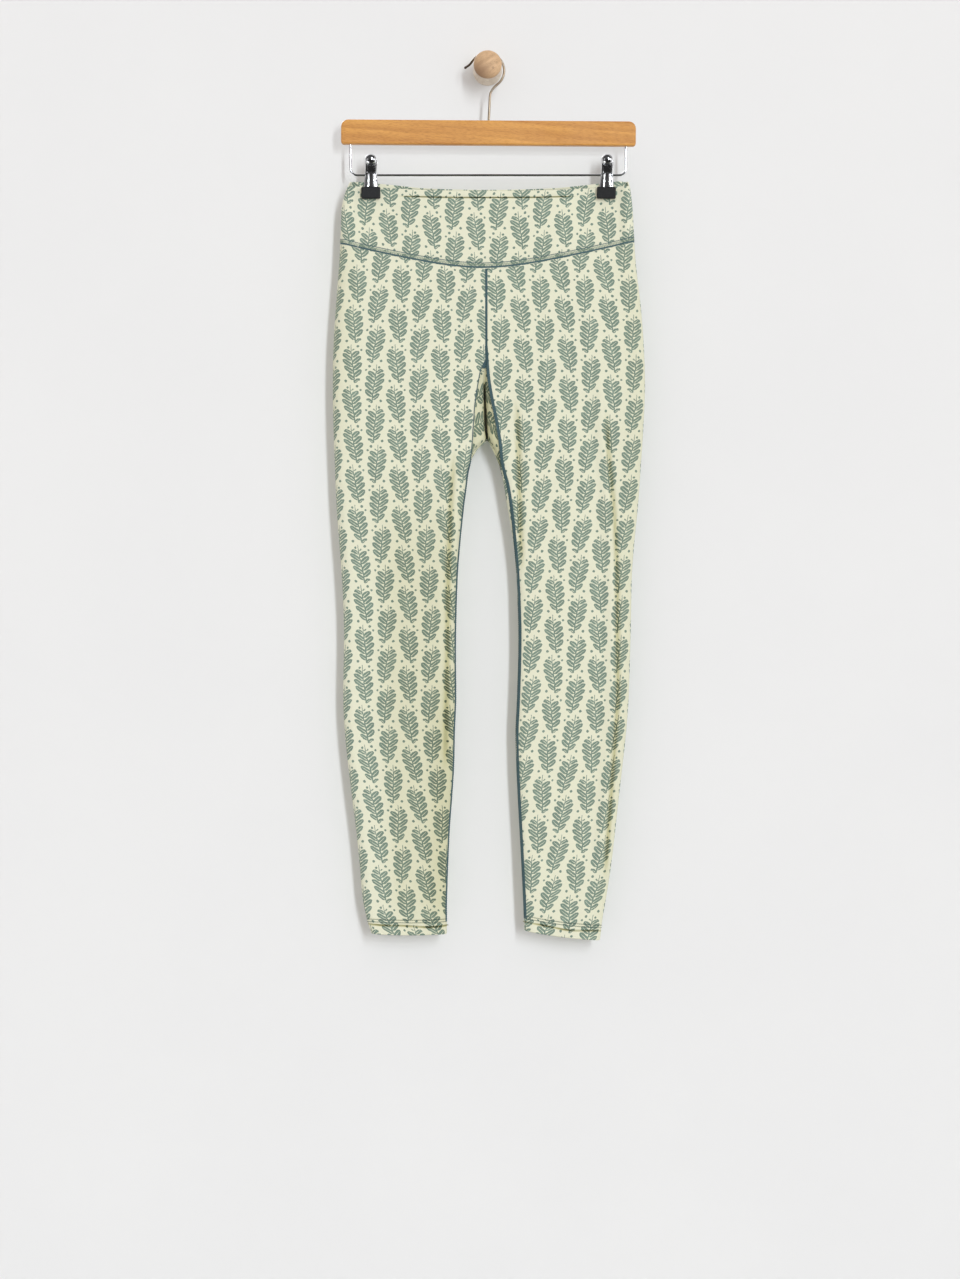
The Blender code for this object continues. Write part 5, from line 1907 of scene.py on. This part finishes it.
def plated_material(name, colour, dull, roughness, dark_reflection_end=None):
    """Fingerprints make patches duller. Within reach of the given end the colour is painted dark brown: a
    painted dark reflection.
    """
    material, tree, shader = new_material(name, Metallic=1.0)
    place = on_object(tree)
    prints = noise(tree, place, 190.0, 4.0, 0.6).rise(0.42, 0.72)
    scratches = noise(tree, stretched(tree, place, (2600, 2600, 260)), 1.0, 2.0)
    plate = mix_colours(tree, prints * 0.6, colour, dull)
    # Painted dark reflection: the colour turns dark brown towards the given end.
    if dark_reflection_end:
        away = measure(tree, "DISTANCE", place, Vector(dark_reflection_end) * MM)
        tone_patch = 1 - away.rise(PAINTED_REFLECTION_CORE * MM, PAINTED_REFLECTION_REACH * MM)
        plate = mix_colours(tree, tone_patch * PAINTED_REFLECTION_SHARE, plate, PAINTED_REFLECTION_BROWN)
    join(tree, plate, shader.inputs["Base Color"])
    join(tree, prints * 0.12 + scratches * 0.05 + roughness, shader.inputs["Roughness"])
    add_bump(tree, shader, scratches, 0.000006)
    return material


def rubber_material():
    """Soft black rubber with a matt skin and a little dust in it."""
    material, tree, shader = new_material("black_rubber", Specular_IOR_Level=0.4)
    place = on_object(tree)
    dust = noise(tree, place, 420.0, 5.0, 0.65).rise(0.5, 0.78)
    colour = mix_colours(tree, dust * 0.5, rgb(0.010, 0.010, 0.011), rgb(0.045, 0.045, 0.046))
    join(tree, colour, shader.inputs["Base Color"])
    join(tree, dust * 0.18 + 0.5, shader.inputs["Roughness"])
    add_bump(tree, shader, noise(tree, place, 2400.0, 2.0), 0.00004)
    return material


chrome = plated_material("chrome_plate", CHROME, CHROME_DULL, 0.07)
nickel = plated_material("nickel_plate", NICKEL, NICKEL_DULL, 0.27, HOOK_END)
black_rubber = rubber_material()


def coat_node(node, material):
    """Give a piece of the solid model its material."""
    made = nodes[node]
    made.data.materials.clear()
    made.data.materials.append(material)


coat_node("hanger_bar", bar_wood)
nodes["hanger_bar"].visible_diffuse = False
nodes["hanger_bar"].visible_glossy = False
for clip in CLIPS:
    for where in FACE_NAME.values():
        coat_node(f"clip_{clip.name}_boot_{where}", black_rubber)
print("the bar and the boots have their materials")

# %% [markdown]
# ### The bent wires
#
# The hook and the frame under the bar are bent from the same round wire. Plating shows every flat of a
# coarse section, so both are drawn here as curves with a fine round bevel. The hook's points lie a few
# millimetres apart and a smooth spline follows them, while the frame is straight between its two round
# corners.

# %% Bend the hook and the frame
WIRE = 3.0
WIRE_SMOOTH = 6
HOOK_RADIUS = 22.0
HOOK_CENTRE = (-1.0, -5.0)
HOOK_ARC = (145.0, -48.0)
HOOK_TIP = ((-28.2, -1.2), (-26.0, 0.2), (-23.4, 1.8), (-21.2, 4.6))
HOOK_NECK = ((9.6, -24.8), (6.6, -28.2), (4.2, -31.6), (2.9, -35.6))
HOOK_SHANK = ((2.5, -41.0), (2.2, -54.0), (1.2, -68.7))
FRAME_ENDS = ((-174.2, -99.1), (175.5, -101.5))
WIRE_LEVEL = -137.8
FRAME_CORNER = 8.5


def arc(centre, radius, start, end, count):
    """Points (x, z) on an arc; angles in degrees, from +X towards +Z."""
    turns = np.radians(np.linspace(start, end, count + 1))
    return [(centre[0] + radius * math.cos(a), centre[1] + radius * math.sin(a)) for a in turns]


def bent_wire(name, kind, route, material, node):
    """A wire along points (x, z) in the hanger's plane, in place of a solid."""
    route = [(x, CLOTH_Y, z) for x, z in route]
    return hand_over(round_wire(name, [route], WIRE, WIRE_SMOOTH, material, kind), node)


hook_route = [*HOOK_TIP, *arc(HOOK_CENTRE, HOOK_RADIUS, *HOOK_ARC, 34), *HOOK_NECK, *HOOK_SHANK]
frame_route = [FRAME_ENDS[0]]
for (x, _), inward, start in zip(FRAME_ENDS, (FRAME_CORNER, -FRAME_CORNER), (180, 270)):
    frame_route += arc((x + inward, WIRE_LEVEL + FRAME_CORNER), FRAME_CORNER, start, start + 90, 18)
frame_route.append(FRAME_ENDS[1])
bent_wire("bent_hook", "NURBS", hook_route, nickel, "hanger_hook")
bent_wire("bent_frame", "POLY", frame_route, chrome, "wire_frame")
print("hook of", len(hook_route), "points, frame", FRAME_ENDS[1][0] - FRAME_ENDS[0][0], "mm wide")

# %% [markdown]
# ### The peg
#
# The peg is turned on a lathe, so it is drawn as one: a profile of distances along the axis and radii,
# swept once round. The body narrows to a waist that keeps the hook from sliding off, and a rounded
# knob closes it.

# %% Turn the peg
TURNED_SIDES = 96
PEG_BODY_LENGTH = 41.0
PEG_BODY_RADIUS = 18.3
PEG_WAIST_RADIUS = 15.3
PEG_WAIST_AT = 0.72
PEG_FRONT_FLARE = 0.45
KNOB_BACK = 41.3
KNOB_BACK_RADIUS = 16.5
KNOB_RIM = 45.0
KNOB_RADIUS = 17.9
KNOB_FRONT = 54.0
PEG_EDGE = 0.5


def turned(name, profile, material, node=None, centre=(0.0, 0.0, 0.0)):
    """Sweep a profile of (distance in front of the wall, radius) round the Y axis."""
    turns = np.linspace(0, 2 * np.pi, TURNED_SIDES, endpoint=False)
    points = [(r * math.cos(a), -depth, r * math.sin(a)) for depth, r in profile for a in turns]
    faces = swept_faces(len(profile), TURNED_SIDES)
    return hand_over(solid_object(name, np.array(points) + centre, faces, material), node)


def body_radius(share):
    """The body's radius at a share of its length, first narrowing and then widening again."""
    flare = PEG_FRONT_FLARE * ease((share - PEG_WAIST_AT) / (1 - PEG_WAIST_AT))
    narrowed = float(ease(share / PEG_WAIST_AT) - flare)
    return PEG_BODY_RADIUS - (PEG_BODY_RADIUS - PEG_WAIST_RADIUS) * narrowed


def rounded_edge(depth, radius, start, end):
    """A small round edge in a profile: 180 degrees faces the wall, 90 the rim, 0 the front."""
    return arc((depth, radius - PEG_EDGE), PEG_EDGE, start, end, 4)


body = rounded_edge(PEG_EDGE, body_radius(0.0), 180, 90)
body += [(PEG_BODY_LENGTH * s, body_radius(s)) for s in np.linspace(0.04, 0.97, 36)]
body += rounded_edge(PEG_BODY_LENGTH - PEG_EDGE, body_radius(1.0), 90, 0)
knob = rounded_edge(KNOB_BACK + PEG_EDGE, KNOB_BACK_RADIUS, 180, 110)
wider = KNOB_RADIUS - KNOB_BACK_RADIUS
knob += [(KNOB_BACK + (KNOB_RIM - KNOB_BACK) * s, KNOB_BACK_RADIUS + wider * math.sin(s * math.pi / 2))
         for s in np.linspace(0.1, 1.0, 10)]
bow = np.linspace(0, np.pi / 2, 26)[1:-1]
knob += [(KNOB_RIM + (KNOB_FRONT - KNOB_RIM) * math.sin(a), KNOB_RADIUS * math.cos(a)) for a in bow]
turned("turned_peg", body, body_wood, "peg_body")
turned("turned_knob", knob, knob_wood, "peg_knob")
print("peg body of", len(body), "rings, knob of", len(knob))

# %% [markdown]
# The end of a hanger's hook is blunted so that it doesn't catch on cloth: a small bead of metal.

# %% Blunt the hook's end
BEAD, BEAD_LONG = 1.75, 1.15
bow = np.linspace(-np.pi / 2 + 0.05, np.pi / 2 - 0.05, 17)
bead = [(BEAD * BEAD_LONG * math.sin(a), BEAD * math.cos(a)) for a in bow]
turned("hook_bead", bead, nickel, centre=HOOK_END)
print("bead", 2 * BEAD, "mm wide")

# %% [markdown]
# ### The clips
#
# A trouser clip is a pair of levers pressed from sheet steel. The top of each is domed for the finger,
# below the dome the sheet sinks between its two side flanges, and two ribs stiffen the jaw. The coil
# spring sits round the wire between the two levers and pushes the jaws together.
#
# The lever's outer face is a formula: a smooth table gives width and height at each level, and dome,
# recess and ribs are added to it. A Solidify modifier gives the sheet its thickness.

# %% The lever's face
Lever = namedtuple("Lever", "z face half flange")
LEVER = (
    Lever(26.0, 9.2, 6.6, 1.6),
    Lever(18.6, 9.4, 7.1, 1.8),
    Lever(14.5, 9.2, 7.0, 2.2),
    Lever(11.5, 8.6, 6.8, 2.8),
    Lever(8.0, 7.4, 6.9, 3.2),
    Lever(4.0, 6.1, 7.2, 3.2),
    Lever(1.5, 5.6, 7.5, 3.0),
    Lever(-3.0, 5.3, 7.9, 2.7),
    Lever(-10.0, 5.3, 8.6, 2.6),
    Lever(-15.8, 5.3, 9.2, 2.6),
)
SHEET = 1.0
DOME_CENTRE, DOME_RADIUS, DOME_HEIGHT = 18.6, 7.1, 5.2
RECESS_DEPTH, RECESS_TOP, RECESS_LOW, RECESS_WIDTH = 2.2, 13.6, 1.8, 0.70
RIB_HEIGHT, RIB_PLACE, RIB_WIDTH, RIB_TOP = 0.9, 0.45, 0.175, 1.9
FLANGE_FROM, FLANGE_SLOPE = 0.80, 0.50
BEND_RADIUS = 1.1
BEND_STEPS = 5
FACE_COUNT = 44


def flange_fall(x, z, half):
    """How far the jaw's face slopes back beside its ribs."""
    return FLANGE_SLOPE * np.maximum(np.abs(x) - FLANGE_FROM * half, 0) * ease((RIB_TOP - z) / 3.0)


def lever_relief(x, z, half):
    """Dome, recess and ribs on a lever's face."""
    from_centre = (x**2 + (z - DOME_CENTRE) ** 2) / DOME_RADIUS**2
    dome = DOME_HEIGHT * np.maximum(1 - from_centre, 0) ** 0.5
    across = np.abs(x) / half
    sunk = ease((RECESS_TOP - z) / 1.8) * ease((z - RECESS_LOW) / 1.2) * ease((RECESS_WIDTH - across) / 0.12)
    rib = np.cos(np.pi / 2 * np.clip((across - RIB_PLACE) / RIB_WIDTH, -1, 1)) ** 2
    raised = np.maximum(dome, RIB_HEIGHT * rib * ease((RIB_TOP - z) / 1.4))
    return raised - RECESS_DEPTH * sunk - flange_fall(x, z, half)


def lever_grid():
    """The outer face: rows from the dome's top to the jaw, columns from flange to flange."""
    above = DOME_CENTRE + DOME_RADIUS * np.sin(np.linspace(np.pi / 2 - 0.10, 0.02, 16))
    z = np.concatenate([above, np.linspace(DOME_CENTRE, LEVER[-1].z, 76)])
    face, half, flange = (through(LEVER, z, name) for name in ("face", "half", "flange"))
    half = np.where(z > DOME_CENTRE, np.sqrt(np.maximum(DOME_RADIUS**2 - (z - DOME_CENTRE) ** 2, 0.5)), half)
    bend = np.minimum(BEND_RADIUS, half * 0.4)
    turn = np.linspace(np.pi, np.pi / 2, BEND_STEPS + 1)
    rows = []
    for zi, yi, hi, fi, bi in zip(z, face, half, flange, bend):
        corner_x = -hi + bi + bi * np.cos(turn)
        corner_y = yi - bi + bi * np.sin(turn) - flange_fall(hi - bi, zi, hi)
        flat_x = np.linspace(-hi + bi, hi - bi, FACE_COUNT)[1:-1]
        flat_y = np.full(len(flat_x), yi) + lever_relief(flat_x, zi, hi)
        flange_y = np.array([yi - fi, yi - (fi + bi) / 2])
        x = np.concatenate([[-hi, -hi], corner_x, flat_x, -corner_x[::-1], [hi, hi]])
        y = np.concatenate([flange_y, corner_y, flat_y, corner_y[::-1], flange_y[::-1]])
        rows.append(np.stack([x, y, np.full(len(x), zi)], -1))
    return np.array(rows)


print("lever", LEVER[0].z - LEVER[-1].z, "mm high,", 2 * LEVER[-1].half, "mm wide at the jaw")

# %% Press the levers and wind the springs
SPRING_WIRE, SPRING_SMOOTH = 1.0, 2
SPRING_RADIUS = 3.4
SPRING_HALF = 4.6
SPRING_TURNS = 8


def on_clip(points, clip, front):
    """Carry points drawn about the spring's axis, outward along +Y, to their place on a clip."""
    side = Matrix.Rotation(math.pi, 4, "Z") if front else Matrix.Identity(4)
    place = Matrix.Translation((clip.x, CLOTH_Y, WIRE_LEVEL)) @ Matrix.Rotation(clip.roll, 4, "Y")
    place = place @ Matrix.Rotation(clip.turn, 4, "Z") @ side
    turn, shift = np.array(place.to_3x3()), np.array(place.translation)
    return np.asarray(points) @ turn.T + shift


def press_lever(clip, front):
    grid = lever_grid()
    faces = cells(np.arange(grid[..., 0].size).reshape(grid.shape[:2])).reshape(-1, 4)
    where = FACE_NAME[front]
    points = on_clip(grid.reshape(-1, 3), clip, front)
    mesh = bpy.data.meshes.new(f"lever_{clip.name}_{where}")
    mesh.from_pydata((points * MM).tolist(), [], faces.tolist())
    mesh.shade_smooth()
    mesh.materials.append(chrome)
    lever = put_in_scene(mesh.name, mesh)
    sheet = lever.modifiers.new("sheet", "SOLIDIFY")
    sheet.thickness = SHEET * MM
    outward = mesh.polygons[len(faces) // 2].normal.y < 0
    sheet.offset = -1.0 if outward == front else 1.0
    return hand_over(lever, f"clip_{clip.name}_lever_{where}")


def wind_spring(clip):
    """A coil round the wire, between the two levers."""
    turn = np.linspace(0, 2 * np.pi * SPRING_TURNS, SPRING_TURNS * 14 + 1)
    along = np.linspace(-SPRING_HALF, SPRING_HALF, len(turn))
    coil = np.stack([along, SPRING_RADIUS * np.cos(turn), SPRING_RADIUS * np.sin(turn)], -1)
    route = on_clip(coil, clip, BACK)
    spring = round_wire(f"spring_{clip.name}", [route], SPRING_WIRE, SPRING_SMOOTH, nickel)
    return hand_over(spring, f"clip_{clip.name}_spring")


levers = [press_lever(clip, front) for clip in CLIPS for front in (FRONT, BACK)]
springs = [wind_spring(clip) for clip in CLIPS]
print(len(levers), "levers of", len(levers[0].data.polygons), "faces,", len(springs), "springs")

# %% [markdown]
# ## Finish
#
# The sizes of the solid model and of the dressed one are printed side by side, so that the two can be
# compared.

# %% Compare the sizes
visual_box = [list(corner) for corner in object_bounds()]
for axis, letter in enumerate("XYZ"):
    cad_size, visual_size = (box[1][axis] - box[0][axis] for box in (cad_box, visual_box))
    print(f"{letter}: solid {1000 * cad_size:.1f} mm, dressed {1000 * visual_size:.1f} mm")
